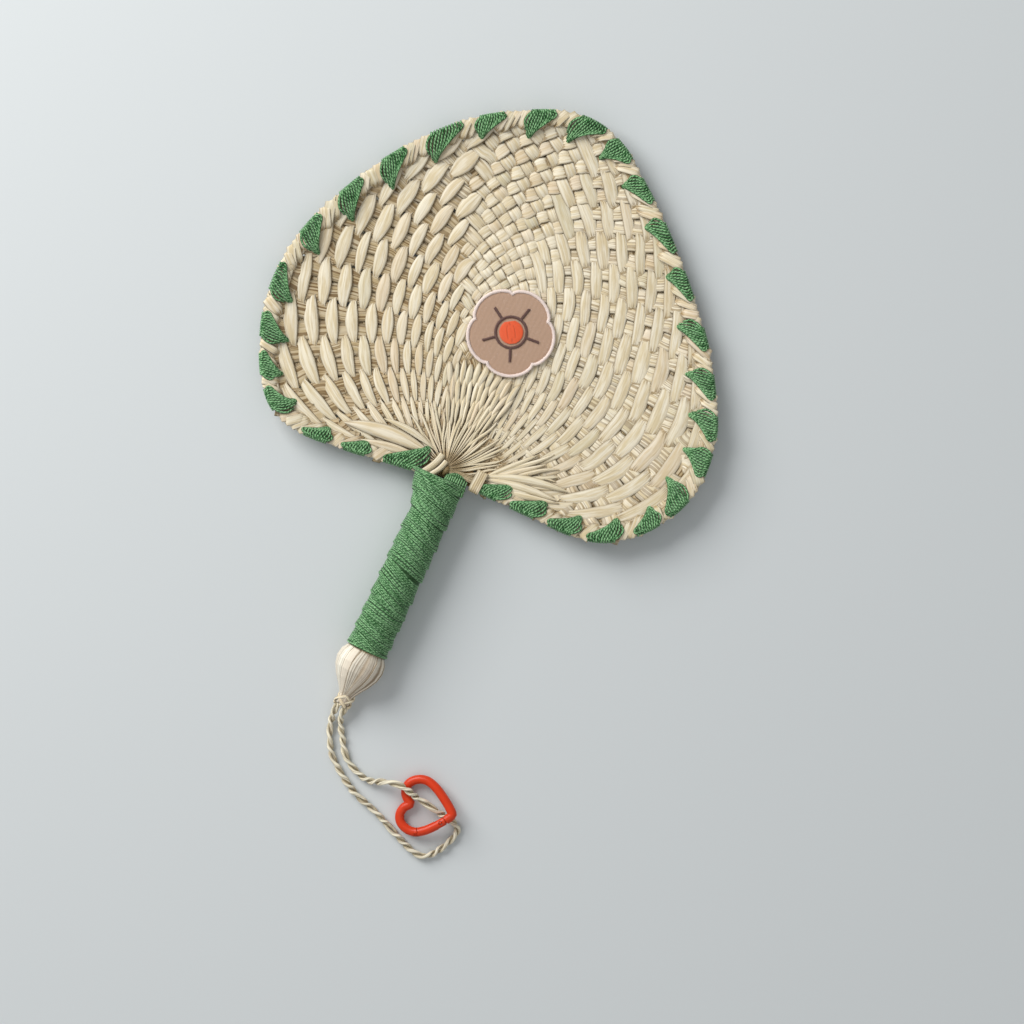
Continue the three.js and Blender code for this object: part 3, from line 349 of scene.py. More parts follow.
def weave_point(left_share, right_share):
    """Where a strip of each family cross. Strips lie closer in the half that they start in."""
    u, v = np.broadcast_arrays(np.asarray(left_share, float), np.asarray(right_share, float))
    a, b = u.copy(), v.copy()
    for _ in range(40):
        a = (a + u ** (1 + 0.54 * ease(b / 0.63))) / 2
        b = (b + v ** (1 + 0.54 * ease(a / 0.63))) / 2
    n = len(net) - 1
    x, y = np.clip(a, 0, 1) * n, np.clip(b, 0, 1) * n
    i, j = np.minimum(x.astype(int), n - 1), np.minimum(y.astype(int), n - 1)
    fx, fy = (x - i)[..., None], (y - j)[..., None]
    return ((net[i, j] * (1 - fx) + net[i + 1, j] * fx) * (1 - fy)
            + (net[i, j + 1] * (1 - fx) + net[i + 1, j + 1] * fx) * fy)


def handle_point(down, angle, radius, widen=0.0, shift=0.0):
    """Points of the handle by distance down from the throat, angle round it and radius, in mm."""
    down, angle, radius, widen, shift = np.broadcast_arrays(
        *(np.asarray(v, float) for v in (down, angle, radius, widen, shift)))
    across = np.cos(angle) * (radius + widen) + shift
    return np.stack([-math.sin(HANDLE_TILT) * down + math.cos(HANDLE_TILT) * across,
                     -math.cos(HANDLE_TILT) * down - math.sin(HANDLE_TILT) * across,
                     HANDLE_HEIGHT + np.sin(angle) * radius], axis=-1)


def wrap_point(down, angle, radius):
    """Points of the handle's cotton winding, which widens at the throat."""
    flare = 1 - ease(down / WRAP_FLARE_LENGTH)
    return handle_point(down, angle, radius, WRAP_FLARE * flare, -WRAP_FLARE_OFFSET * flare)


def clear_of_patch(xy, margin, width):
    """0 under the patch and 1 outside it, with a soft step that starts at a margin beyond its edge."""
    from_centre = np.hypot(xy[:, 0] - PATCH_CENTRE[0], xy[:, 1] - PATCH_CENTRE[1])
    return ease((from_centre - PATCH_RADIUS - margin) / width)


# Mesh helpers


def dress(piece, material):
    piece.data.materials.clear()
    piece.data.materials.append(material)


def link(name, mesh, material=None):
    piece = bpy.data.objects.new(name, mesh)
    bpy.context.scene.collection.objects.link(piece)
    if material is not None:
        dress(piece, material)
    return piece


def set_layers(mesh, layers):
    for name, values in layers.items():
        vector = name == "side"
        layer = mesh.attributes.new(name, "FLOAT_VECTOR" if vector else "FLOAT", "POINT")
        layer.data.foreach_set("vector" if vector else "value", np.asarray(values, np.float32).ravel())


def settled(piece):
    """A piece as a plain mesh, with its modifiers applied."""
    bpy.context.view_layer.update()
    graph = bpy.context.evaluated_depsgraph_get()
    return bpy.data.meshes.new_from_object(piece.evaluated_get(graph))


class Strands:
    """Open lines with values for each of their points, from which a strand tree grows a piece."""

    def __init__(self):
        self.lines = []
        self.layers = {}

    def add(self, points, **layers):
        """Adds a line in mm from the throat, with one value or one a point in each named layer.

        The layer named side holds the direction across the line, level with the surface it lies on.
        """
        self.lines.append(place(points))
        for key, values in layers.items():
            shape = (len(points), 3) if key == "side" else len(points)
            self.layers.setdefault(key, []).append(np.broadcast_to(values, shape))

    def grow(self, name, tree, **values):
        """Runs a tree on the lines and returns its result as a plain mesh piece."""
        counts = [len(line) for line in self.lines]
        starts = np.cumsum([0, *counts])
        edges = [(k, k + 1) for n, s in zip(counts, starts) for k in range(s, s + n - 1)]
        source = bpy.data.meshes.new(name + "_lines")
        source.from_pydata(np.vstack(self.lines).tolist(), edges, [])
        set_layers(source, {key: np.concatenate(parts) for key, parts in self.layers.items()})
        holder = link(name + "_lines", source)
        build = holder.modifiers.new("Build", "NODES")
        build.node_group = tree
        sockets = {item.name: item.identifier for item in tree.interface.items_tree
                   if item.item_type == "SOCKET" and item.in_out == "INPUT"}
        for key, value in values.items():
            build[sockets[key]] = value
        made = settled(holder)
        holder.modifiers.remove(build)
        bpy.data.objects.remove(holder)
        if not len(made.polygons):
            raise RuntimeError(name + " came out empty")
        made.name = name
        return link(name, made)


def sideways(points, up):
    """The direction across a line on a surface that faces up."""
    side = np.cross(np.gradient(points, axis=0), up)
    return side / np.maximum(np.linalg.norm(side, axis=1)[:, None], 1e-12)


def outward(mesh):
    """Turns a closed mesh's faces outwards."""
    work = bmesh.new()
    work.from_mesh(mesh)
    bmesh.ops.remove_doubles(work, verts=work.verts, dist=1e-7)
    bmesh.ops.recalc_face_normals(work, faces=work.faces)
    work.to_mesh(mesh)
    work.free()


def tube_mesh(name, rings, smooth=True, caps=True, **layers):
    """A closed skin through rings of points in mm from the throat, with capped ends.

    The rings of several tubes may come as one list of them. A layer has one value, or one a point.
    """
    rings = place(rings)
    shape = rings.shape[:-1]
    rows, columns = shape[-2:]
    skin = [(r * columns + c, r * columns + d, (r + 1) * columns + d, (r + 1) * columns + c)
            for r in range(rows - 1) for c, d in zip(range(columns), [*range(1, columns), 0])]
    if caps:
        skin += [range(columns), range(rows * columns - 1, (rows - 1) * columns - 1, -1)]
    points = rings.reshape(-1, 3)
    faces = [[start + k for k in face] for start in range(0, len(points), rows * columns) for face in skin]
    mesh = bpy.data.meshes.new(name)
    mesh.from_pydata(points.tolist(), [], faces)
    set_layers(mesh, {key: np.broadcast_to(values, shape) for key, values in layers.items()})
    outward(mesh)
    mesh.polygons.foreach_set("use_smooth", [smooth] * len(mesh.polygons))
    return mesh


def soften(mesh, degrees=40):
    mesh.polygons.foreach_set("use_smooth", [True] * len(mesh.polygons))
    mesh.set_sharp_from_angle(angle=math.radians(degrees))


# Node helpers


class Nodes:
    """Adds nodes to a tree, each in one call."""

    def __init__(self, tree):
        self.tree = tree

    def add(self, kind, inputs=None, **settings):
        made = self.tree.nodes.new(kind)
        for key, value in settings.items():
            setattr(made, key, value)
        for key, value in (inputs or {}).items():
            socket = made.inputs[key]
            if isinstance(value, bpy.types.NodeSocket):
                self.tree.links.new(value, socket)
            else:
                socket.default_value = value
        return made

    def math(self, operation, a, b=0.0, c=0.0, use_clamp=False):
        return self.add("ShaderNodeMath", {0: a, 1: b, 2: c}, operation=operation,
                        use_clamp=use_clamp).outputs[0]

    def vector(self, x, y=0.0, z=0.0):
        return self.add("ShaderNodeCombineXYZ", {0: x, 1: y, 2: z}).outputs[0]

    def blend(self, factor, a, b):
        return self.add("ShaderNodeMix", {0: factor, 6: a, 7: b}, data_type="RGBA").outputs[2]

    def ramp(self, value, low, high, start=0.0, end=1.0):
        return self.add("ShaderNodeMapRange", {"Value": value, "From Min": low, "From Max": high,
                                               "To Min": start, "To Max": end},
                        interpolation_type="SMOOTHSTEP").outputs[0]

    def noise(self, vector, scale, detail=2.0, roughness=0.5):
        return self.add("ShaderNodeTexNoise", {"Vector": vector, "Scale": scale, "Detail": detail,
                                               "Roughness": roughness}).outputs[0]

    def layer(self, name):
        return self.add("ShaderNodeAttribute", attribute_name=name).outputs["Fac"]

    def named(self, name, data_type="FLOAT"):
        return self.add("GeometryNodeInputNamedAttribute", {0: name}, data_type=data_type).outputs[0]

    def object_spot(self):
        return self.add("ShaderNodeTexCoord").outputs["Object"]

    def tint(self, base, shade, mask, amount):
        """A base colour that turns towards a shade by a share of a mask."""
        return self.blend(self.math("MULTIPLY", mask, amount), base, shade)

    def bump(self, strength, distance, height):
        return self.add("ShaderNodeBump", {"Strength": strength, "Distance": distance,
                                           "Height": height}).outputs[0]

    def group(self, tree, inputs):
        return self.add("ShaderNodeGroup", inputs, node_tree=tree).outputs

    def send(self, outputs, **values):
        for key, value in values.items():
            self.tree.links.new(value, outputs[key])


def new_tree(name, kind, inputs, outputs):
    """A node group with named inputs and outputs, each given as name, socket type and default."""
    tree = bpy.data.node_groups.new(name, kind)
    for label, socket_type, default in inputs:
        socket = tree.interface.new_socket(name=label, in_out="INPUT", socket_type=socket_type)
        if default is not None:
            socket.default_value = default
    for label, socket_type in outputs:
        tree.interface.new_socket(name=label, in_out="OUTPUT", socket_type=socket_type)
    n = Nodes(tree)
    return tree, n, n.add("NodeGroupInput").outputs, n.add("NodeGroupOutput").inputs


FLOAT = "NodeSocketFloat"


@cache
def leaf_grain_group():
    """Lengthwise streaks, veins and creases of dried palm leaf, from a strip's own layers."""
    tree, n, given, out = new_tree(
        "Leaf grain", "ShaderNodeTree",
        [("Across", FLOAT, 0.0), ("Along", FLOAT, 0.0), ("Tone", FLOAT, 0.0),
         ("Vein Count", FLOAT, 5.0), ("Run", FLOAT, 90.0)],
        [("Streaks", FLOAT), ("Veins", FLOAT), ("Creases", FLOAT), ("Height", FLOAT)])
    shift = n.math("MULTIPLY", given["Tone"], 31.0)
    along = n.math("MULTIPLY", given["Along"], given["Run"])

    def lengthwise(lines, stretch, *detail):
        """Noise with about so many lines across the leaf, drawn out along it."""
        across = n.math("MULTIPLY_ADD", given["Across"], lines, shift)
        return n.noise(n.vector(across, n.math("MULTIPLY", along, stretch), shift), 1.0, *detail)

    streaks = lengthwise(2.4, 1.0, 3.0, 0.6)
    lines = lengthwise(given["Vein Count"], 0.35, 2.0, 0.55)
    veins = n.ramp(lines, 0.56, 0.7)
    n.send(out, Streaks=n.ramp(streaks, 0.36, 0.64), Veins=veins,
           Creases=n.ramp(lengthwise(5.4, 0.14, 1.0), 0.5, 0.555),
           Height=n.math("SUBTRACT", n.math("MULTIPLY", lines, 0.6), n.math("MULTIPLY", veins, 0.7)))
    return tree


@cache
def yarn_group():
    """Twisted cotton: light fibres, painted shade in the creases between the plies and loose fuzz, from a
    thread's own layers.
    """
    tree, n, given, out = new_tree(
        "Cotton yarn", "ShaderNodeTree",
        [("Across", FLOAT, 0.0), ("Rise", FLOAT, 0.0), ("Along", FLOAT, 0.0), ("Turn", FLOAT, 0.0018),
         ("Plies", FLOAT, 2.0)],
        [("Fibre", FLOAT), ("Crease", FLOAT), ("Height", FLOAT)])
    angle = n.math("ARCTAN2", given["Rise"], given["Across"])
    turned = n.math("MULTIPLY", n.math("DIVIDE", given["Along"], given["Turn"]), 2 * math.pi)
    phase = n.math("ADD", n.math("MULTIPLY", angle, given["Plies"]), turned)
    wave = n.math("MULTIPLY_ADD", n.math("SINE", phase), 0.5, 0.5)
    fuzz = n.noise(n.object_spot(), 2100.0, 3.0, 0.7)
    drawn = n.vector(n.math("MULTIPLY", given["Along"], 260.0), angle, given["Plies"])
    hair = n.noise(drawn, 1.0, 3.0, 0.7)
    loose = n.math("ADD", n.math("MULTIPLY", fuzz, 0.5), n.math("MULTIPLY", hair, 0.5))
    # Besides the loose fibres, Fibre is a little lighter on the crests of the plies, a painted highlight;
    # Crease is painted shade in the grooves between them.
    n.send(out, Fibre=n.ramp(n.math("ADD", n.math("MULTIPLY", wave, 0.08), loose), 0.49, 0.6),
           Crease=n.math("MULTIPLY", n.ramp(wave, 0.3, 0.02), 0.15),
           Height=n.math("ADD", n.math("MULTIPLY", wave, 0.12), n.math("MULTIPLY", fuzz, 0.9)))
    return tree


@cache
def use_marks_group():
    """Uneven fading and handling marks over a whole piece."""
    tree, n, given, out = new_tree(
        "Use marks", "ShaderNodeTree", [("Size", FLOAT, 0.02), ("Contrast", FLOAT, 0.5)],
        [("Fade", FLOAT), ("Flecks", FLOAT)])
    scale = n.math("DIVIDE", 1.0, given["Size"])
    fade = n.noise(n.object_spot(), scale, 3.0, 0.6)
    flecks = n.noise(n.object_spot(), n.math("MULTIPLY", scale, 9.0), 2.0, 0.7)
    n.send(out, Fade=n.math("MULTIPLY", n.ramp(fade, 0.35, 0.7), given["Contrast"]),
           Flecks=n.ramp(flecks, 0.62, 0.75))
    return tree


def new_material(name):
    material = bpy.data.materials.new(name)
    material.use_nodes = True
    material.node_tree.nodes.clear()
    return material, Nodes(material.node_tree)


def finish_material(n, base, roughness, normal=None, **values):
    shader = n.add("ShaderNodeBsdfPrincipled", {"Base Color": base, "Roughness": roughness})
    for key, value in values.items():
        shader.inputs[key.replace("_", " ")].default_value = value
    if normal is not None:
        n.tree.links.new(normal, shader.inputs["Normal"])
    n.add("ShaderNodeOutputMaterial", {"Surface": shader.outputs[0]})


# Tones of single palm leaves, a painted highlight for a strip's raised lips and a painted shadow for its
# edges.
LEAF_RUSTY = (0.64, 0.45, 0.29, 1)
LEAF_OLIVE = (0.52, 0.5, 0.33, 1)
LEAF_LIP_HIGHLIGHT = (0.93, 0.87, 0.72, 1)
LEAF_EDGE_SHADOW = (0.2, 0.14, 0.06, 1)


def palm_material(name, light, mid, dark, vein_count=5.0, run=90.0, vein_amount=0.5, shade=0.0,
                  two_sided=False):
    """Dried palm leaf. Where a strip lies low or passes under, its flat side shows darker and browner with
    dark veins: painted shade.
    """
    material, n = new_material(name)
    across, along, tone, lift = (n.layer(k) for k in ("across", "along", "tone", "lift"))
    if two_sided:
        # Seen from the back, the strips that pass under are the ones on top.
        normal = n.add("ShaderNodeSeparateXYZ", {0: n.add("ShaderNodeNewGeometry").outputs["Normal"]})
        lift = n.math("MULTIPLY", lift, n.ramp(normal.outputs[2], -0.4, 0.4, -1.0, 1.0))
    grain = n.group(leaf_grain_group(), {"Across": across, "Along": along, "Tone": tone,
                                         "Vein Count": vein_count, "Run": run})
    streaks, vein_colour = grain["Streaks"], colour("palm_vein")
    # Painted shade: darker where a strip lies low or passes under another, and at the ends of a float where
    # it turns down, with more brown streaks and veins there.
    under = n.ramp(lift, 0.15, -0.75)
    tip = n.ramp(n.math("ABSOLUTE", lift), 0.62, 0.1)
    base = n.blend(n.math("MULTIPLY_ADD", streaks, 0.8, shade), light, mid)
    base = n.blend(n.ramp(tone, 0.6, 1.0, 0.0, 0.35), base, LEAF_RUSTY)
    base = n.blend(n.ramp(tone, 0.35, 0.0, 0.0, 0.3), base, LEAF_OLIVE)
    base = n.tint(base, dark, under, 0.5)
    base = n.tint(base, dark, tip, 0.52)
    shown = n.math("ADD", n.ramp(lift, 0.92, 0.6, 0.12, 0.56), n.math("MULTIPLY", under, 0.38))
    base = n.tint(base, vein_colour, grain["Creases"], shown)
    base = n.tint(base, vein_colour, n.math("MULTIPLY", tip, streaks), 0.35)
    side = n.math("ABSOLUTE", across)
    # A painted highlight on the raised lips, weaker where the strip lies low, and a painted shadow along the
    # edges.
    lip = n.math("MULTIPLY", n.ramp(side, 0.62, 0.84), n.ramp(side, 1.0, 0.9))
    base = n.tint(base, LEAF_LIP_HIGHLIGHT, lip, n.math("MULTIPLY_ADD", under, -0.4, 0.45))
    base = n.tint(base, LEAF_EDGE_SHADOW, n.ramp(side, 0.66, 0.94), 0.5)
    veins = n.math("MULTIPLY", grain["Veins"], n.math("MULTIPLY_ADD", tip, 0.7, vein_amount))
    base = n.tint(base, vein_colour, veins, 0.8)
    base = n.tint(base, mid, n.group(use_marks_group(), {"Size": 0.03})["Fade"], 0.3)
    finish_material(n, base, n.math("MULTIPLY_ADD", streaks, 0.2, 0.48),
                    n.bump(0.7, 0.00012, grain["Height"]), Specular_IOR_Level=0.4, Sheen_Weight=0.05)
    return material


@cache
def green_cotton():
    """Twisted cotton thread with lighter fibres, and painted shade: in its creases, and over each thread but
    its side of lowest rise.
    """
    material, n = new_material("Green cotton")
    rise, light, dark = n.layer("rise"), colour("cotton_light"), colour("cotton_dark")
    yarn = n.group(yarn_group(), {"Across": n.layer("across"), "Rise": rise, "Along": n.layer("along"),
                                  "Turn": 0.0016, "Plies": 2.0})
    base = n.blend(n.ramp(n.layer("tone"), 0.0, 1.0, 0.0, 0.45), colour("cotton"), dark)
    base = n.tint(base, light, yarn["Fibre"], 0.72)
    # Painted shade in the creases, then painted light by the rise across a thread: a faint painted highlight
    # where it is high, and painted shade on all of it above -0.35, which leaves only the side of lowest rise
    # unshaded.
    base = n.tint(base, dark, yarn["Crease"], 0.6)
    base = n.tint(base, light, n.ramp(rise, 0.2, 1.0), 0.17)
    base = n.tint(base, dark, n.ramp(rise, -0.95, -0.35), 0.85)
    finish_material(n, base, 0.85, n.bump(0.8, 0.00014, yarn["Height"]), Sheen_Weight=0.6,
                    Sheen_Roughness=0.35, Sheen_Tint=(0.75, 1.0, 0.75, 1), Specular_IOR_Level=0.2)
    return material


def steel_material():
    material, n = new_material("Brushed steel")
    fade = n.group(use_marks_group(), {"Size": 0.0012})["Fade"]
    base = n.blend(fade, (0.5, 0.5, 0.52, 1), (0.3, 0.29, 0.28, 1))
    finish_material(n, base, n.math("MULTIPLY_ADD", fade, 0.35, 0.28), Metallic=0.95)
    return material


# Geometry Nodes trees


def end_tree(n, skin, given, out):
    """Ends a tree in one smooth mesh with its finish."""
    skin = n.add("GeometryNodeRealizeInstances", {0: skin}).outputs[0]
    skin = n.add("GeometryNodeSetShadeSmooth", {"Geometry": skin}).outputs[0]
    skin = n.add("GeometryNodeSetMaterial", {"Geometry": skin, "Material": given["Finish"]}).outputs[0]
    n.tree.links.new(skin, out[0])


@cache
def strand_tree(name, crowned):
    """Sweeps a rounded section along each line of a mesh, as a leaf strip or as a thread.

    A leaf strip is flat, lies level, and its middle and its lips rise by the line's crown.
    """
    tree, n, given, out = new_tree(
        name, "GeometryNodeTree",
        [("Geometry", "NodeSocketGeometry", None), ("Sides", "NodeSocketInt", 12),
         ("Flatness", FLOAT, 1.0), ("Lip", FLOAT, 0.0), ("Pleat", FLOAT, 0.0),
         ("Finish", "NodeSocketMaterial", None)],
        [("Geometry", "NodeSocketGeometry")])
    lines = n.add("GeometryNodeMeshToCurve", {"Mesh": given["Geometry"]}).outputs[0]
    if crowned:
        lines = n.add("GeometryNodeSetCurveNormal", {"Curve": lines}, mode="Z_UP").outputs[0]
    else:
        lines = n.add("GeometryNodeSetCurveNormal",
                      {"Curve": lines, "Normal": n.named("side", "FLOAT_VECTOR")}, mode="FREE").outputs[0]
    shape = n.add("GeometryNodeCurvePrimitiveCircle", {"Resolution": given["Sides"],
                                                       "Radius": 1.0}).outputs[0]
    spot = n.add("ShaderNodeSeparateXYZ", {0: n.add("GeometryNodeInputPosition").outputs[0]}).outputs
    for label, value in (("across", spot[0]), ("rise", spot[1])):
        shape = n.add("GeometryNodeStoreNamedAttribute",
                      {"Geometry": shape, "Name": label, "Value": value}).outputs[0]
    flat = n.vector(spot[0], n.math("MULTIPLY", spot[1], given["Flatness"]))
    shape = n.add("GeometryNodeSetPosition", {"Geometry": shape, "Position": flat}).outputs[0]
    skin = n.add("GeometryNodeCurveToMesh", {"Curve": lines, "Profile Curve": shape,
                                             "Scale": n.named("half_width"), "Fill Caps": True}).outputs[0]
    if crowned:
        side = n.math("ABSOLUTE", n.named("across"))
        arch = n.math("SUBTRACT", 1.0, n.math("MULTIPLY", side, side))
        from_lip = n.math("ABSOLUTE", n.math("SUBTRACT", side, 0.866))
        lip = n.math("MULTIPLY", given["Lip"], n.ramp(from_lip, 0.12, 0.0))
        lift = n.math("MULTIPLY", n.named("crown"), n.math("ADD", arch, lip))
        own = n.math("MULTIPLY", n.named("tone"), 37.0)
        folds = n.noise(n.vector(n.math("MULTIPLY_ADD", n.named("across"), 2.3, own)), 1.0, 1.0)
        folds = n.math("MULTIPLY", n.math("SUBTRACT", folds, 0.5), n.math("MULTIPLY", arch, given["Pleat"]))
        rise = n.vector(0.0, 0.0, n.math("ADD", lift, folds))
        skin = n.add("GeometryNodeSetPosition", {"Geometry": skin, "Offset": rise}).outputs[0]
    end_tree(n, skin, given, out)
    return tree


@cache
def stitch_tree():
    """Lays satin stitches side by side across each line of a mesh."""
    tree, n, given, out = new_tree(
        "Satin stitches", "GeometryNodeTree",
        [("Geometry", "NodeSocketGeometry", None), ("Spacing", FLOAT, 0.0004), ("Length", FLOAT, 0.0018),
         ("Thickness", FLOAT, 0.0003), ("Height", FLOAT, 0.0004), ("Slant", FLOAT, 0.0),
         ("Uneven", FLOAT, 0.12), ("Seed", "NodeSocketInt", 4), ("Finish", "NodeSocketMaterial", None)],
        [("Geometry", "NodeSocketGeometry")])
    lines = n.add("GeometryNodeMeshToCurve", {"Mesh": given["Geometry"]}).outputs[0]
    lines = n.add("GeometryNodeResampleCurve", {"Curve": lines, "Length": given["Spacing"]},
                  mode="LENGTH").outputs[0]
    tangent = n.add("GeometryNodeInputTangent").outputs[0]
    lines = n.add("GeometryNodeStoreNamedAttribute",
                  {"Geometry": lines, "Name": "heading", "Value": tangent},
                  data_type="FLOAT_VECTOR").outputs[0]
    spots = n.add("GeometryNodeCurveToPoints", {"Curve": lines}, mode="EVALUATED").outputs[0]
    ball = n.add("GeometryNodeMeshUVSphere", {"Segments": 8, "Rings": 6, "Radius": 0.5}).outputs[0]
    spot = n.add("ShaderNodeSeparateXYZ", {0: n.add("GeometryNodeInputPosition").outputs[0]}).outputs
    for label, value in (("across", spot[1]), ("rise", n.math("MULTIPLY", spot[2], -2.0)),
                         ("along", n.math("MULTIPLY", spot[0], given["Length"]))):
        ball = n.add("GeometryNodeStoreNamedAttribute",
                     {"Geometry": ball, "Name": label, "Value": value}).outputs[0]
    turned = n.add("FunctionNodeAlignRotationToVector", {"Vector": n.named("heading", "FLOAT_VECTOR")},
                   axis="Y", pivot_axis="Z").outputs[0]
    swing = n.add("FunctionNodeRandomValue", {2: -0.09, 3: 0.09, "Seed": given["Seed"]}, data_type="FLOAT")
    slant = n.math("ADD", swing.outputs[1], given["Slant"])
    spin = n.add("FunctionNodeEulerToRotation", {0: n.vector(0.0, 0.0, slant)}).outputs[0]
    turned = n.add("FunctionNodeRotateRotation", {0: turned, 1: spin}, rotation_space="LOCAL").outputs[0]
    jitter = n.add("FunctionNodeRandomValue", {2: n.math("SUBTRACT", 1.0, given["Uneven"]),
                                               3: n.math("ADD", 1.0, given["Uneven"]),
                                               "Seed": n.math("ADD", given["Seed"], 7)}, data_type="FLOAT")
    long = n.math("MULTIPLY", given["Length"], jitter.outputs[1])
    laid = n.add("GeometryNodeInstanceOnPoints", {
        "Points": spots, "Instance": ball, "Rotation": turned,
        "Scale": n.vector(long, given["Thickness"], given["Height"])}).outputs[0]
    end_tree(n, laid, given, out)
    return tree


def finish_piece(piece, body, slot, *nodes):
    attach(piece, body)
    if nodes:
        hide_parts(*nodes)
    return piece


# Finishes


def leaf_colours():
    return colour("palm_light"), colour("palm_mid"), colour("palm_dark")


@cache
def palm_strip():
    return palm_material("Palm strip", *leaf_colours(), vein_count=4.0, run=80.0, vein_amount=0.12,
                         two_sided=True)


@cache
def palm_rim():
    return palm_material("Palm slip", *leaf_colours(), vein_count=3.0, run=120.0, vein_amount=0.3, shade=0.1)


@cache
def palm_fold():
    return palm_material("Folded palm", *leaf_colours(), vein_count=7.0, run=60.0, shade=0.04)


@cache
def palm_stem():
    return palm_material("Palm stem", colour("palm_mid"), colour("palm_dark"), colour("palm_vein"),
                         vein_count=6.0, run=60.0, shade=0.3)


def palm_bulb():
    return palm_material("Bulb palm", (0.98, 0.93, 0.79, 1), (0.9, 0.84, 0.7, 1), colour("palm_vein"),
                         vein_count=6.0, run=30.0, vein_amount=0.75)


# Pieces

CORD_EXIT_SPREAD = CORD_DIAMETER / 2 + 0.3


def cord_route():
    """The wrist loop's route, in mm from the throat: heights are measured to the cord's centre."""
    def leave(side, further, height):
        p = handle_point(NECK_END + 0.3 + further, 0.0, 0.0, side * CORD_EXIT_SPREAD)
        return [p[0], p[1], height]

    swing_from, swing_to = np.array([30.7, -136.3, 7.25]), np.array([60.1, -143.75, 1.7])
    r = CORD_REST
    return np.array([
        leave(1, 0, 5), leave(1, 1.9, 5), leave(1, 5.2, 3.5),
        [-3.7, -121.6, 1.9], [-0.9, -126.6, r], [1.9, -131.6, r], [4.6, -134.7, r],
        [8.2, -137.0, r], [13.3, -139.2, r], [18.6, -139.7, 2.2], [24.2, -137.6, 4.6], swing_from,
        swing_from + 0.35 * (swing_to - swing_from), swing_from + 0.7 * (swing_to - swing_from),
        swing_to, [62.6, -146.6, r], [61.5, -151.4, r], [58.8, -156.2, r], [55.8, -160.6, r],
        [51.4, -162.9, r], [47.2, -162.3, r], [42.7, -160.6, r], [37.8, -158.2, r],
        [32.6, -155.8, r], [28.2, -153.4, r], [23.2, -151.2, r], [18.0, -149.3, r],
        [13.2, -147.3, r], [8.2, -144.3, r], [3.6, -140.9, r], [-0.6, -137.4, r],
        [-4.0, -133.2, r], [-6.8, -127.5, r], [-8.4, -122.1, 1.9],
        leave(-1, 5.2, 3.5), leave(-1, 1.9, 5), leave(-1, 0, 5),
    ])


def moving_frames(path):
    """Tangent, side and up directions along a path that never turns suddenly."""
    t = np.gradient(path, axis=0)
    t /= np.linalg.norm(t, axis=1)[:, None]
    side = np.zeros_like(path)
    side[0] = np.cross(t[0], [0, 0, 1])
    side[0] /= np.linalg.norm(side[0])
    for k in range(1, len(path)):
        s = side[k - 1] - t[k] * np.dot(side[k - 1], t[k])
        side[k] = s / np.linalg.norm(s)
    return t, side, np.cross(side, t)


class FAN_OT_view(Operator):
    """Sets the camera straight above the fan, turned as the photograph is, and the soft lights"""
    bl_idname = "fan.view"
    bl_label = "Camera and Lights"

    def execute(self, context):
        scene = context.scene
        scene.view_settings.view_transform = "Standard"
        camera = bpy.data.objects.new("camera", bpy.data.cameras.new("camera"))
        camera.data.sensor_width = 36
        camera.data.lens = CAMERA_LENS
        camera.data.clip_end = 20
        camera.location = CAMERA_PLACE
        camera.rotation_euler = (0, 0, CAMERA_TURN)
        scene.collection.objects.link(camera)
        scene.camera = camera

        def lamp(name, towards, elevation, distance, size, power):
            data = bpy.data.lights.new(name, "AREA")
            data.size = size
            data.energy = power
            made = bpy.data.objects.new(name, data)
            flat = math.cos(math.radians(elevation))
            spot = np.array([towards[0] * flat, towards[1] * flat,
                             math.sin(math.radians(elevation))]) * distance
            made.location = spot
            made.rotation_euler = Vector(-spot).to_track_quat("-Z", "Y").to_euler()
            scene.collection.objects.link(made)

        lamp("window_light", towards=(-0.917, 0.399), elevation=36, distance=1.5, size=1.0, power=24.6)
        lamp("fill_light", towards=(0.6, -0.8), elevation=60, distance=1.7, size=1.6, power=3.2)
        world = bpy.data.worlds.new("room")
        world.use_nodes = True
        background = world.node_tree.nodes["Background"].inputs
        background["Color"].default_value = (0.95, 0.97, 1.0, 1)
        background["Strength"].default_value = 0.375
        scene.world = world
        return {"FINISHED"}


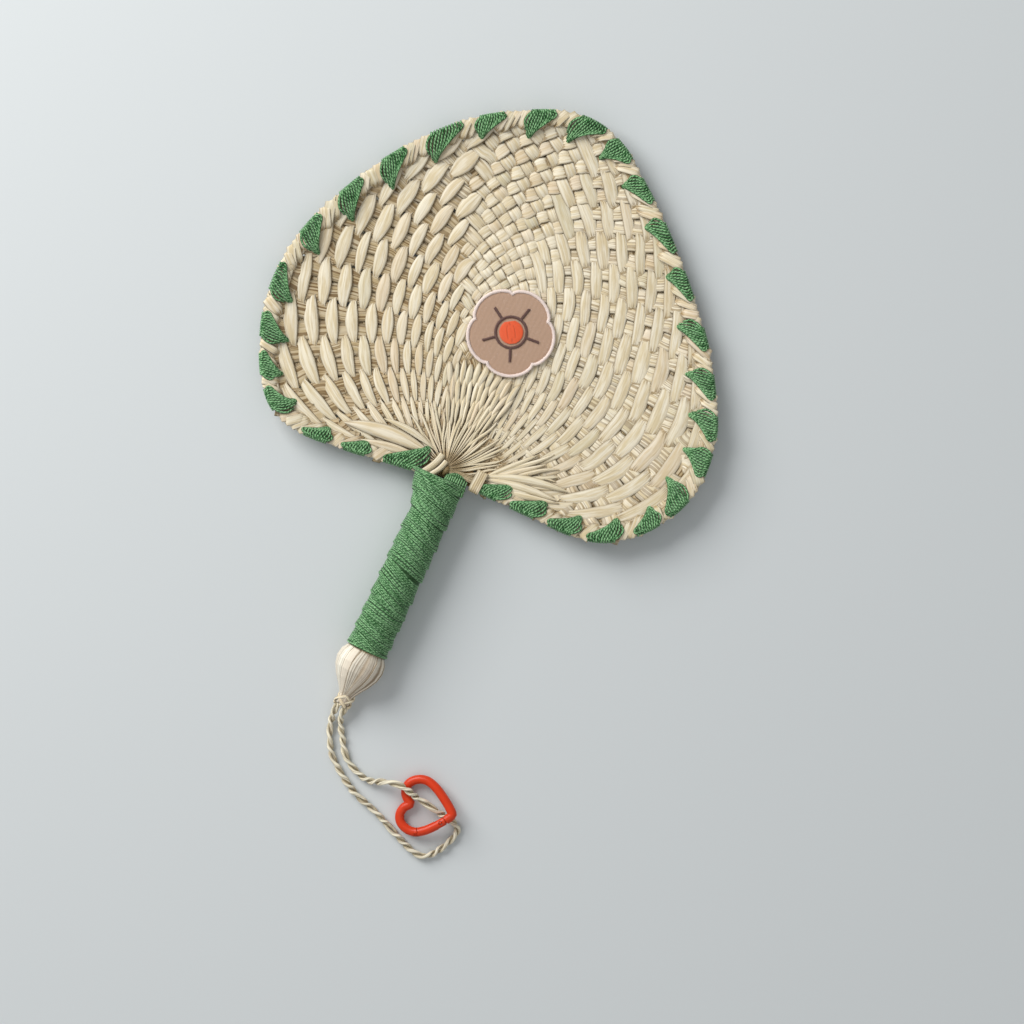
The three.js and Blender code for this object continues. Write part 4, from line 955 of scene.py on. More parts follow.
class FAN_OT_wrist_loop(Operator):
    """Twists the two-ply palm cord of the wrist loop"""
    bl_idname = "fan.wrist_loop"
    bl_label = "Wrist Loop"

    def execute(self, context):
        path = curve_through(cord_route(), 16)
        length = lengths_along(path)[-1]
        steps = int(length / 0.5)
        path = spaced(path, steps + 1)
        t, side, up = moving_frames(path)
        s = np.linspace(0, length, steps + 1)
        rng = np.random.default_rng(5)

        def wander(knots, draw, *limits):
            """Values drawn at evenly spaced knots of the cord, and between them in a straight line."""
            return np.interp(s, np.linspace(0, length, knots), draw(*limits, knots))

        turn = 2 * math.pi * s / (sizes().cord_twist / MM) + wander(40, rng.normal, 0, 0.85)
        around = 2 * math.pi * np.arange(16) / 16
        plies = []
        for start in (0, math.pi):
            phase = (turn + start)[:, None]
            out = side * np.cos(phase) + up * np.sin(phase)
            flat = np.cross(out, t)
            centre = path + out * wander(70, rng.uniform, 0.66, 0.98)[:, None]
            # The ply is a folded strip: a rounded section with two lengthwise creases.
            folds = 1 - 0.2 * np.abs(np.cos(1.5 * around + 0.6 * np.sin(s / 9)[:, None])) ** 3
            radius = (0.84 * (1 + 0.1 * wander(90, rng.normal, 0, 1)))[:, None] * folds
            rings = (centre[:, None] + out[:, None] * (np.cos(around) * radius)[..., None]
                     + flat[:, None] * (np.sin(around) * radius * 1.12)[..., None])
            rings[..., 2] = np.maximum(rings[..., 2], 0.02)
            plies.append(rings)
        # The lift darkens each ply on the side that faces the other ply: painted shade in the crease between
        # the plies.
        mesh = tube_mesh("twisted_wrist_loop", plies, across=np.sin(around * 1.5 + 0.4) * 0.95,
                         along=(s * MM)[:, None], tone=np.array([0.2, 0.6])[:, None, None],
                         lift=np.cos(around) * 0.9 + 0.55)
        finish = palm_material("Twisted palm", (0.93, 0.87, 0.66, 1), colour("palm_light"),
                               (0.34, 0.28, 0.11, 1), run=110.0, vein_amount=0.55)
        loop = finish_piece(link("twisted_wrist_loop", mesh, finish), "fan", "palm_dark", "wrist_loop")
        place(cord_route()[0]).tolist()
        return {"FINISHED"}


# The woven blade

# How far from the axis the strips still cross one by one, as shares of a family's strips.
LEFT_ZONE = 0.13
RIGHT_ZONE = 0.085


def left_is_over(i, j, count):
    """Whether strip i of the left family passes over strip j of the right family.

    Round the axis the strips cross one by one. Towards each side the crossing strips run in pairs.
    """
    lean = (j - i) / count
    if lean > LEFT_ZONE:
        return (i + j // 2) % 2 == 0
    if lean < -RIGHT_ZONE:
        return (i // 2 + j) % 2 == 0
    return (i + j) % 2 == 0


def strip_lines(family, rng):
    """Every strip of one family, with the values that its section needs."""
    count = sizes().strips_per_family
    lift_height = sizes().weave_lift / MM
    crown_height = sizes().float_crown / MM
    in_cell = np.array([0.0, 0.16, 0.5, 0.84])
    x = np.r_[(np.arange(count)[:, None] + in_cell[None]).ravel(), count]
    left = family == "left"
    zone, other_zone = (LEFT_ZONE, RIGHT_ZONE) if left else (RIGHT_ZONE, LEFT_ZONE)
    strips = Strands()
    for k in range(count):
        own = (k + 0.5) / count

        def along_at(share):
            return weave_point(share, x / count) if left else weave_point(x / count, share)

        low, high = along_at(own - 0.5 / count), along_at(own + 0.5 / count)
        centre = along_at(own)
        tangent = np.gradient(centre, axis=0)
        tangent /= np.maximum(np.linalg.norm(tangent, axis=1)[:, None], 1e-9)
        gap = high - low
        pitch = np.abs(gap[:, 0] * tangent[:, 1] - gap[:, 1] * tangent[:, 0])
        wander = np.convolve(rng.normal(0, 0.17, len(x) + 8), np.hanning(11)[1:-1] / 5, "valid") * pitch
        centre = centre + np.column_stack([-tangent[:, 1], tangent[:, 0]]) * wander[:, None]
        over = [left_is_over(k, m, count) if left else not left_is_over(m, k, count) for m in range(count)]
        runs, start = [], 0
        for m in range(1, count + 1):
            if m == count or over[m] != over[start]:
                long = over[start] and m - start > 1 and (start + m) / 2 / count - own > zone
                runs.append([start, m, over[start], long, rng.uniform(0, 1), rng.normal(0, 1)])
                start = m
        # A long float reaches a little past the strips that it crosses.
        for first, then in zip(runs, runs[1:]):
            first[1] = then[0] = then[0] + 0.34 * (first[3] - then[3])
        signal, width, crown = np.zeros(len(x)), np.ones(len(x)), np.zeros(len(x))
        tone = np.full(len(x), rng.uniform(0, 1))
        # How far a point lies in the half where this family starts, from 0 to 1.
        home = ease(((x / count) - own) / 0.5 + 0.45)
        # Beyond the middle zone this family is the one that shows between the other's long floats.
        away = ease((own - x / count - other_zone) / 0.06)
        for a, b, is_over, long, shade, drift in runs:
            here = (x >= a) & (x <= b)
            t = (x[here] - a) / (b - a)
            wave = np.sin(math.pi * t)
            size = 1.0 + 0.08 * drift
            reach = (0.62 + 0.5 * home[here]) * (1 - 0.6 * away[here])
            if is_over:
                signal[here] = wave ** 0.5 * reach
                if long and left:
                    width[here] = (0.3 + 1.18 * wave ** 0.8) * size
                    crown[here] = wave ** 0.7
                elif long:
                    width[here] = (0.78 + 0.6 * wave ** 0.5) * size
                    crown[here] = 0.55 * wave ** 0.5
                else:
                    width[here] = (0.93 + 0.16 * wave ** 0.5) * size
                    crown[here] = 0.5 * wave ** 0.6 * (1 - away[here])
                tone[here] = tone[here] * 0.4 + 0.6 * shade
            else:
                signal[here] = -wave ** 0.5 * reach
                width[here] = 1.02
            width[here] += (0.97 - width[here]) * away[here]
        points = np.column_stack([centre, np.zeros(len(x))])
        half = pitch / 2 * width
        near_patch = clear_of_patch(centre, -2, 4)
        points[:, 2] = (blade_height(centre[:, 0], centre[:, 1]) + 0.1
                        + signal * lift_height * (0.7 + 0.3 * near_patch))
        # Round the throat and below the patch the strips are gathered under the ridges.
        from_throat = np.hypot(centre[:, 0], centre[:, 1])
        middle = 1 - ease((np.abs(x / count - own) - LEFT_ZONE + 0.02) / 0.04)
        gathered = np.maximum(ease((32 - from_throat) / 12), middle * ease((60 - from_throat) / 6))
        points[:, 2] -= signal * lift_height * 0.5 * gathered
        keep = inside_outline(points, 2.4)
        edges = np.flatnonzero(np.diff(np.r_[False, keep, False].astype(int)))
        s = lengths_along(points)
        # The lift sets the finish's painted shade: low where a strip dips under another and where it is
        # gathered under the ridges. Low on the left the strips between the floats are darkened to brown,
        # their own browner tone and painted shade at once; elsewhere they are pale.
        brown = 0 if left else ease((135 - centre[:, 1]) / 45)
        shown = signal * 1.1 + (0.42 - 1.08 * brown) * away + 0.32 * middle * (1 - gathered)
        shown = np.clip(shown + (-0.9 - shown) * gathered, -1, 1)
        crown *= (crown_height * np.minimum(1, half / 2.0) * (0.35 + 0.65 * near_patch)
                  * (1 - gathered)) * MM
        for a, b in zip(edges[::2], edges[1::2]):
            if b - a < 6:
                continue
            part = slice(a, b)
            strips.add(points[part], half_width=np.maximum(half[part], 0.12) * MM, crown=crown[part],
                       tone=tone[part], lift=shown[part], along=s[part] * MM + k * 0.37)
    return strips


class FAN_OT_weave(Operator):
    """Weaves the two families of palm strips, over and under each other"""
    bl_idname = "fan.weave"
    bl_label = "Woven Strips"

    def execute(self, context):
        rng = np.random.default_rng(11)
        for family in ("left", "right"):
            piece = strip_lines(family, rng).grow(
                family + "_leaf_strips", strand_tree("Leaf strips", True), Sides=12, Flatness=0.07,
                Lip=0.4, Pleat=0.8 * MM, Finish=palm_strip())
            finish_piece(piece, "fan", "palm_light" if family == "left" else "palm_dark",
                         *[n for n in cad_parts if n.startswith(family + "_strip")])
        return {"FINISHED"}


# Where the folded ridges run together above the handle, and where the last ones leave the tie, in mm.
THROAT_KNOB = np.array([-2.2, 4.4])
THROAT_TIE = np.array([13.4, 3.4])
# The loop of the tie lies a little nearer the handle than its place on the rim.
TIE_SHIFT = np.array([-4.5, 0.45, 0.0])
# Long leaves beside the lower rim: both ends, the widest half and how far the middle bends, in mm.
LONG_LEAVES = [
    ((-11, 7.5), (-52, 6.5), 3.7, 2.0), ((-12.5, 3.5), (-43, 1.5), 2.2, 1.0),
    ((-10, 10), (-36, 14.5), 1.7, 1.5), ((15, 5.5), (50, 8.5), 2.0, 1.2), ((14.5, 6.5), (53, 14), 2.2, 1.8),
]
# Two strips that cross the gathered folds on their left: both ends and the half width, in mm.
CROSSING_STRIPS = [((-5.6, 9.0), (-10.6, -1.2), 1.6), ((-2.9, 6.8), (-7.6, -1.6), 1.3)]


class FAN_OT_throat(Operator):
    """Gathers the leaf's folded ridges at the throat and lays the pleated base under them"""
    bl_idname = "fan.throat"
    bl_label = "Gathered Throat"

    def execute(self, context):
        self.lay_ridges()
        self.lay_base()
        self.set_knob()
        self.tie_rim()
        return {"FINISHED"}

    def lay_ridges(self):
        rng = np.random.default_rng(3)
        ridges = Strands()

        # A low lift darkens a ridge in its finish: painted shade where it dips under or crowds in.
        def lay(xy, half, rise, lift):
            near = clear_of_patch(xy, 1, 3)
            z = blade_height(xy[:, 0], xy[:, 1]) + 0.35 + (rise - 0.35) * near
            ridges.add(np.column_stack([xy, z]), half_width=np.clip(half, 0.14, 4) * MM,
                       crown=np.clip(half * 0.7, 0.15, 0.7) * (0.3 + 0.7 * near) * MM,
                       tone=rng.uniform(0.1, 0.9), lift=np.clip(lift, -1, 1),
                       along=lengths_along(xy) * MM + (len(ridges.lines) + 1) * 0.1)

        def ray(start, heading, bend, r, sway=0.035):
            q = (r - r[0]) / (r[-1] - r[0])
            turn = heading + bend * (1 - q) ** 2 + rng.normal(0, sway) * np.sin(2 * math.pi * q)
            return start + np.column_stack([np.sin(turn), np.cos(turn)]) * r[:, None], q

        folds, first, last = 42, -1.5, 1.32
        for m in range(folds):
            heading = first + (last - first) * (m + 0.5 + rng.uniform(-0.2, 0.2)) / folds
            end = rng.uniform(25, 40) - 6 * abs(heading)
            r = np.r_[np.linspace(0.9, 9, 9), np.linspace(11, end, 9)]
            bend = 0.45 * math.sin(heading) if heading > 0 else 0.14 * heading
            xy, q = ray(THROAT_KNOB, heading, bend, r)
            half = r * (last - first) / folds * rng.uniform(0.44, 0.58) * ease(0.12 + (1 - q) / 0.5)
            rise = (0.9 + 1.5 * ease((12 - r) / 10) - 0.6 * ease((q - 0.75) / 0.25)
                    + rng.uniform(-0.35, 0.35) * ease(r / 4))
            # A lower lift darkens the fold near the knob, where the folds crowd together, and at its far end,
            # where it dips under: painted shade.
            lift = 1.0 - 1.4 * ease((13 - r) / 12) - 0.7 * ease((q - 0.85) / 0.15)
            lay(xy, np.minimum(half, 1.25), rise, lift)

        # The last folds on the right run to the tie, are gathered there and spread out beyond it.
        for m in range(11):
            heading = 0.78 + 0.86 * (m + 0.5 + rng.uniform(-0.2, 0.2)) / 11
            r = np.linspace(2.0, rng.uniform(24, 38), 11)
            xy, q = ray(THROAT_TIE + [0, 0.32 * (5 - m)], heading, 0.1, r)
            xy = np.vstack([THROAT_KNOB + [0.6, -0.2 - 0.15 * m], THROAT_KNOB + [6, -0.1 - 0.22 * m], xy])
            half = np.r_[0.3, 0.42, 1.5 * np.sin(math.pi * (0.12 + 0.83 * q)) ** 0.8 * ease(0.2 + q / 0.3)]
            rise = np.r_[2.2, 1.5, 0.9 + 0.3 * q] + rng.uniform(-0.3, 0.3)
            # The lift darkens these folds where they gather at the knob and run into the tie, and at their
            # far ends: painted shade.
            lift = np.r_[-0.3, 0.2, 1.0 - 0.7 * ease((0.15 - q) / 0.15) - 0.7 * ease((q - 0.88) / 0.12)]
            xy = curve_through(xy, 2)
            t = np.linspace(0, 12, len(xy))
            half, rise, lift = (np.interp(t, np.arange(13), v) for v in (half, rise, lift))
            lay(xy, half * rng.uniform(0.85, 1.15), rise, lift)

        # Rows of slim floats between the ridges and the patch, each row between the tips of the last.
        for row, (near, far) in enumerate(((24, 39), (33, 48), (42, 54))):
            for m in range(11):
                heading = -0.37 + 0.7 * (m + 0.5 * (row % 2) + 0.25 + rng.uniform(-0.15, 0.15)) / 11
                r = np.linspace(near + rng.uniform(-1, 1), far + rng.uniform(-1.5, 1), 11)
                xy, q = ray(np.zeros(2), heading, 0.0, r, 0.004)
                wave = np.sin(math.pi * np.clip(q, 0.01, 0.99))
                half = r * 0.7 / 22 * (0.25 + 0.75 * wave ** 0.7) * rng.uniform(0.8, 1.15)
                lay(xy, half, 0.7 + 0.6 * wave, 0.3 + 0.9 * wave ** 0.6)

        for start, stop, widest, bow in LONG_LEAVES:
            q = np.linspace(0, 1, 16)
            start, stop = np.array(start, float), np.array(stop, float)
            xy = start + (stop - start) * q[:, None] + [0, 1] * (bow * np.sin(math.pi * q))[:, None]
            wave = np.sin(math.pi * np.clip(0.04 + 0.93 * q, 0, 1))
            lay(xy, widest * wave ** 0.85, 1.15 + 0.7 * wave, 0.2 + 1.0 * wave ** 0.5)

        for start, stop, half in CROSSING_STRIPS:
            q = np.linspace(0, 1, 9)
            start, stop = np.array(start, float), np.array(stop, float)
            xy = start + (stop - start) * q[:, None] + [1, 0] * (0.8 * np.sin(math.pi * q))[:, None]
            lay(xy, np.full(9, half), 3.2 + 1.0 * np.sin(math.pi * q), np.full(9, 0.8))
        piece = ridges.grow("throat_ridges", strand_tree("Leaf strips", True), Sides=12, Flatness=0.3,
                            Lip=0.25, Pleat=0.35 * MM, Finish=palm_fold())
        finish_piece(piece, "fan", "palm_dark")

    def lay_base(self):
        """The base under the ridges: a fan of fine pleats from the stem out to the first strips."""
        reach, pleats, half_thick = 12.2, 34, 0.5
        angle = np.linspace(-1.66, 1.56, pleats * 6 + 1)[:, None]
        fold = np.cos((angle + 1.66) / 3.22 * 2 * math.pi * pleats)
        out = np.linspace(0.05, 1, 9)
        x, y = reach * out * np.sin(angle), reach * out * np.cos(angle)
        z = blade_height(x, y) + 0.1 + 1.1 * (1 - out) ** 2 + 0.3 * out * fold
        upper, lower = np.stack([x, y, z + half_thick], -1), np.stack([x, y, z - half_thick], -1)
        # Its lift of -1 gives it the full darkening of a strip that lies under: painted shade beneath the
        # ridges.
        mesh = tube_mesh("pleated_leaf_base", np.concatenate([upper, lower[:, ::-1]], axis=1), across=fold,
                         along=np.r_[out, out[::-1]] * reach * MM,
                         tone=np.linspace(0, 1, len(angle))[:, None], lift=-1.0)
        soften(mesh, 60)
        finish_piece(link("pleated_leaf_base", mesh, palm_stem()), "fan", "palm_dark", "leaf_base")

    def set_knob(self):
        """The end of the stem, a small knob where the ridges meet."""
        a = 2 * math.pi * np.arange(20) / 20
        high = np.linspace(-1.35, 1.45, 10)[:, None]
        radius = np.cos(high) * (1 + 0.08 * np.cos(5 * a + 1))
        x, y = THROAT_KNOB + [0.3, -1.6]
        level = float(blade_height(x, y)) + 2.0 + 1.9 * np.sin(high)
        rings = np.stack([x + 1.9 * radius * np.cos(a), y + 2.4 * radius * np.sin(a), level + 0 * a], -1)
        mesh = tube_mesh("stem_knob", rings, across=np.cos(5 * a) * 0.8,
                         along=np.linspace(0, 0.004, 10)[:, None], tone=0.15, lift=-0.2)
        finish_piece(link("stem_knob", mesh, palm_stem()), "fan", "palm_dark")

    def tie_rim(self):
        """The palm strip tied once round the rim's right end."""
        distance = outline_length - 2.5
        hole, up, thick = 8.7, EDGING_TOP + 1.35, 0.3
        route = np.array([[hole, -0.2], [hole, up - 0.5], [hole - 0.5, up], [5, up + 0.15],
                          [2, up + 0.1], [0.3, up - 0.1], [-0.9, up - 1.1], [-1.2, 0], [-0.9, -up + 1.1],
                          [0.3, -up], [3, -up], [hole - 0.6, -up], [hole, -up + 0.5], [hole, -0.2]])
        route = curve_through(route, 6)
        t = np.gradient(route, axis=0)
        t /= np.linalg.norm(t, axis=1)[:, None]
        across = 2.5 * np.array([-1, -0.6, 0, 0.6, 1])
        crown = np.array([-0.05, 0.12, 0.16, 0.12, -0.05])
        rings = np.array([np.vstack([rim_point(distance + across, inset, height + crown),
                                     rim_point(distance - across, inset + thick * th, height - thick * ti)])
                          for (inset, height), (ti, th) in zip(route, t)])
        rings[-1] = rings[0]
        mesh = tube_mesh("throat_tie_loop", rings + TIE_SHIFT, caps=False,
                         across=[-0.95, -0.5, 0, 0.5, 0.95, 0.95, 0.5, 0, -0.5, -0.95],
                         along=np.linspace(0, 0.03, len(rings))[:, None], tone=0.4, lift=0.6)
        soften(mesh, 50)
        finish_piece(link("throat_tie_loop", mesh, palm_rim()), "fan", "palm_dark", "throat_tie")


def over_rim(distance, route):
    """Outward directions on the folded rim, by distance along it and inset and height, in mm."""
    middle = rim_point(distance, 4.0, 0.0)
    near = rim_point(distance, route[:, 0], route[:, 1])
    out = near - middle
    flat = np.minimum(np.hypot(out[:, 0], out[:, 1]), 4.6) - 3.2
    scale = np.maximum(flat, 0) / np.maximum(np.hypot(out[:, 0], out[:, 1]), 1e-6)
    return np.column_stack([out[:, 0] * scale * (route[:, 0] < 4), out[:, 1] * scale * (route[:, 0] < 4),
                            route[:, 1]])


class FAN_OT_rim(Operator):
    """Folds the palm edging and its slanting slips over the rim"""
    bl_idname = "fan.rim"
    bl_label = "Rim Edging"

    def execute(self, context):
        rng = np.random.default_rng(8)
        around = np.linspace(0, 2 * math.pi, 16, endpoint=False)
        distance = np.linspace(0, outline_length, 301)
        inset = 3.7 - 3.0 * np.cos(around)
        height = 1.55 * np.sign(np.sin(around)) * np.abs(np.sin(around)) ** 0.55
        mesh = tube_mesh("folded_rim_band", [rim_point(d, inset, height) for d in distance],
                         across=np.sin(around * 3), along=(distance * MM)[:, None], tone=0.5, lift=0.1)
        finish_piece(link("folded_rim_band", mesh, palm_fold()), "fan", "palm_light", "rim_edging")

        slips = Strands()
        spacing = sizes().slip_spacing / MM
        for at in np.arange(1.5, outline_length - 1, spacing):
            at += rng.normal(0, 0.6)
            if any(start + 0.8 < at < stop - 0.8 for start, stop, *_ in WRAPS):
                continue
            lean = rng.normal(6.5, 1.8)
            depth = rng.uniform(6.2, 8.6)
            up = rng.uniform(1.7, 2.25)
            profile = np.array([[depth, 0.75], [depth - 0.6, 1.2], [depth - 1.8, up], [3.4, up + 0.15],
                                [1.9, up], [1.0, up - 0.35], [0.5, up * 0.5], [0.35, 0],
                                [0.5, -up * 0.5], [1.1, -up + 0.2], [2.6, -up], [depth - 1.5, -up + 0.1]])
            line = curve_through(profile, 3)
            s = lengths_along(line)
            share = s / s[-1]
            slide = at - lean * np.where(line[:, 1] > 0, line[:, 0] / 7, -line[:, 0] / 12)
            p = rim_point(np.clip(slide, 0, outline_length), line[:, 0], line[:, 1])
            half = rng.uniform(1.5, 2.7) * (0.5 + 0.5 * ease(share / 0.12))
            # The lift is low at the slip's inner end, where it tucks down into the weave, which darkens it
            # there: painted shade.
            slips.add(p, side=sideways(p, over_rim(slide, line)), half_width=half * MM,
                      tone=rng.uniform(0, 1), lift=np.clip(0.1 + 1.4 * ease(share / 0.25), -1, 0.95),
                      along=s * MM + at)
        piece = slips.grow("rim_slips", strand_tree("Rim slips", False), Sides=12, Flatness=0.1,
                           Finish=palm_rim())
        finish_piece(piece, "fan", "palm_light")
        return {"FINISHED"}


class FAN_OT_lashing(Operator):
    """Winds the green cotton lashing round the rim, wrap by wrap"""
    bl_idname = "fan.lashing"
    bl_label = "Rim Lashing"

    def execute(self, context):
        rng = np.random.default_rng(2)
        threads = sizes().threads_per_wrap
        lashing = Strands()
        up = EDGING_TOP + 0.5
        for outer_from, outer_to, inner_from, inner_to, reach in WRAPS:
            tip = inner_from + 0.32 * (inner_to - inner_from)
            for m in range(threads):
                f = (m + 0.5) / threads
                outer = outer_from + f * (outer_to - outer_from)
                inner = inner_from + f * (inner_to - inner_from)
                side = (inner - tip) / ((inner_to if inner > tip else inner_from) - tip)
                end_inset = reach * (1.0 - 0.5 * abs(side) ** 2.6) + 0.3
                end = tip + 0.6 * (inner - tip)
                t = np.linspace(0, 1, 9)
                inset = 0.9 + (end_inset - 0.9) * t
                s = (outer + (inner - outer) * t ** (0.8 + 0.5 * f) + (end - inner) * ease((t - 0.5) / 0.5)
                     + (4.0 * f - 1.3) * np.sin(math.pi * t ** 0.8))
                valley = 0.42 * math.exp(-((f - 0.6) / 0.13) ** 2)
                hump = (0.75 * math.sin(math.pi * f) ** 0.7 - valley) * np.sin(math.pi * (0.3 + 0.5 * t))
                z = up + hump + rng.uniform(-0.07, 0.07) - 1.6 * ease((t - 0.8) / 0.2)
                front = np.column_stack([s, inset, z])[::-1]
                dive = [[front[0, 0], front[0, 1] + 0.3, -0.3]]
                edge = [[outer + 0.15, 0.15, up * 0.62], [outer + 0.25, -0.1, 0.0],
                        [outer + 0.35, 0.15, -up * 0.62]]
                t = np.linspace(0, 1, 5)
                back = np.column_stack([outer + 0.4 + (tip + 9 - outer) * 0.6 * t, 0.9 + (reach - 1.3) * t,
                                        -up - 0.2 * np.sin(math.pi * t) + 1.2 * ease((t - 0.7) / 0.3)])
                route = curve_through(np.vstack([dive, front, edge, back]), 2)
                p = rim_point(route[:, 0], route[:, 1], route[:, 2])
                slim = 1 - 0.3 * ease((route[:, 1] - 2) / reach) * (route[:, 2] > 0)
                lashing.add(p, side=sideways(p, over_rim(route[:, 0], route[:, 1:])),
                            half_width=slim * sizes().lashing_thread * rng.uniform(1.02, 1.18),
                            tone=rng.uniform(0, 1), along=lengths_along(p) * MM + rng.uniform(0, 0.01))
        piece = lashing.grow("cotton_rim_lashing", strand_tree("Cotton threads", False), Sides=8,
                             Flatness=0.9, Finish=green_cotton())
        finish_piece(piece, "fan", "cotton_green", "rim_lashing")
        return {"FINISHED"}


class FAN_OT_handle(Operator):
    """Wraps the handle in slanted laps of green cotton"""
    bl_idname = "fan.handle"
    bl_label = "Handle Wrap"

    def execute(self, context):
        # The ground under the threads: a plain sleeve, flared at the throat. Its tone and its rise give it
        # the cotton's darkest shades: painted shade between the threads.
        angle = 2 * math.pi * np.arange(64) / 64
        bottom = HANDLE_LENGTH - 0.6
        down = np.linspace(WRAP_TOP + 0.3, bottom, 60)[:, None]
        mesh = tube_mesh("cotton_handle_wrap", wrap_point(down, angle, WRAP_RADIUS - 0.95),
                         across=np.cos(angle * 5), rise=0.6, tone=0.9,
                         along=np.linspace(0, 0.08, 60)[:, None])
        finish_piece(link("cotton_handle_wrap", mesh, green_cotton()), "fan", "cotton_green", "handle_wrap")

        # The winding itself: a flat band of threads, each lap lying over the upper edge of the next.
        rng = np.random.default_rng(21)
        threads, per_turn = 11, 36
        turns = (bottom - WRAP_TOP + 2 * WRAP_SLANT) / WRAP_PITCH + 1
        a = np.linspace(0, 2 * math.pi * turns, int(turns * per_turn))
        knots = np.arange(0, turns + 1, 0.5)
        drift = np.interp(a / (2 * math.pi), knots, rng.normal(0, 0.8, len(knots)))
        lean = np.interp(a / (2 * math.pi), knots, rng.normal(1.35, 0.3, len(knots)))
        winding = Strands()
        handle_up = handle_point(0.0, 0.0, 0.0) - handle_point(1.0, 0.0, 0.0)
        for m in range(threads):
            f = (m + 0.5) / threads
            own = np.interp(a, a[::9], rng.normal(0, 0.16, len(a[::9])))
            middle = (WRAP_TOP - WRAP_SLANT + WRAP_PITCH * (a / (2 * math.pi) - 1)
                      + WRAP_PITCH * 1.1 * (f - 0.5) + drift + own)
            down = middle + WRAP_SLANT * lean * np.cos(a)
            down = np.clip(down, WRAP_TOP + 0.25 + 0.06 * m, bottom - 0.08 * m)
            radius = WRAP_RADIUS - 1.1 + 0.85 * f ** 1.6 + 0.06 * np.sin(a * 1.7 + m)
            p = wrap_point(down, a, radius)
            half = rng.uniform(0.4, 0.47) * MM
            # The tone of each thread is random, and darker along the upper edge of each lap, which lies under
            # the lap before it: painted shade.
            shade = rng.normal(0.35, 0.15) + 0.35 * ease((0.2 - f) / 0.2)
            shade = shade + np.interp(a, a[::30], rng.normal(0, 0.2, len(a[::30])))
            winding.add(p, side=handle_up, half_width=half, tone=np.clip(shade, 0, 1),
                        along=lengths_along(p) * MM)
        # The last turns climb over the throat's right side and down behind it.
        for m in range(10):
            f = m / 9
            t = np.linspace(0, 1, 15)
            peak = 4.4 * math.sin(math.pi * (0.2 + 0.62 * f)) - 1.2
            x = -1.2 + 10.2 * f + (1.4 - 1.2 * f) * np.sin(math.pi * t * 0.5) * (1 - f)
            y = -6.0 + (peak + 6.0) * np.sin(math.pi * t * 0.72)
            z = 17.8 - 3.4 * f ** 2 - (5.2 - 1.5 * f) * ease(t / 0.7) - 4.5 * ease((t - 0.62) / 0.38)
            p = np.column_stack([x, y, z])
            winding.add(p, side=sideways(p, [0.3, 0.6, 1.0]), half_width=0.56 * MM,
                        tone=rng.uniform(0.1, 0.8), along=lengths_along(p) * MM)
        piece = winding.grow("cotton_handle_threads", strand_tree("Cotton threads", False), Sides=8,
                             Flatness=0.9, Finish=green_cotton())
        finish_piece(piece, "fan", "cotton_green")

        stem, n = new_material("Bundled stems")
        drawn = n.add("ShaderNodeMapping", {"Vector": n.object_spot(), "Rotation": (0, 0, -HANDLE_TILT),
                                            "Scale": (900, 25, 900)}).outputs[0]
        strands = n.noise(drawn, 1.0, 3.0, 0.6)
        base = n.blend(n.ramp(strands, 0.35, 0.65), colour("palm_mid"), colour("palm_vein"))
        finish_material(n, base, 0.7, n.bump(0.8, 0.0004, strands))
        dress(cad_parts["handle_core"], stem)
        return {"FINISHED"}


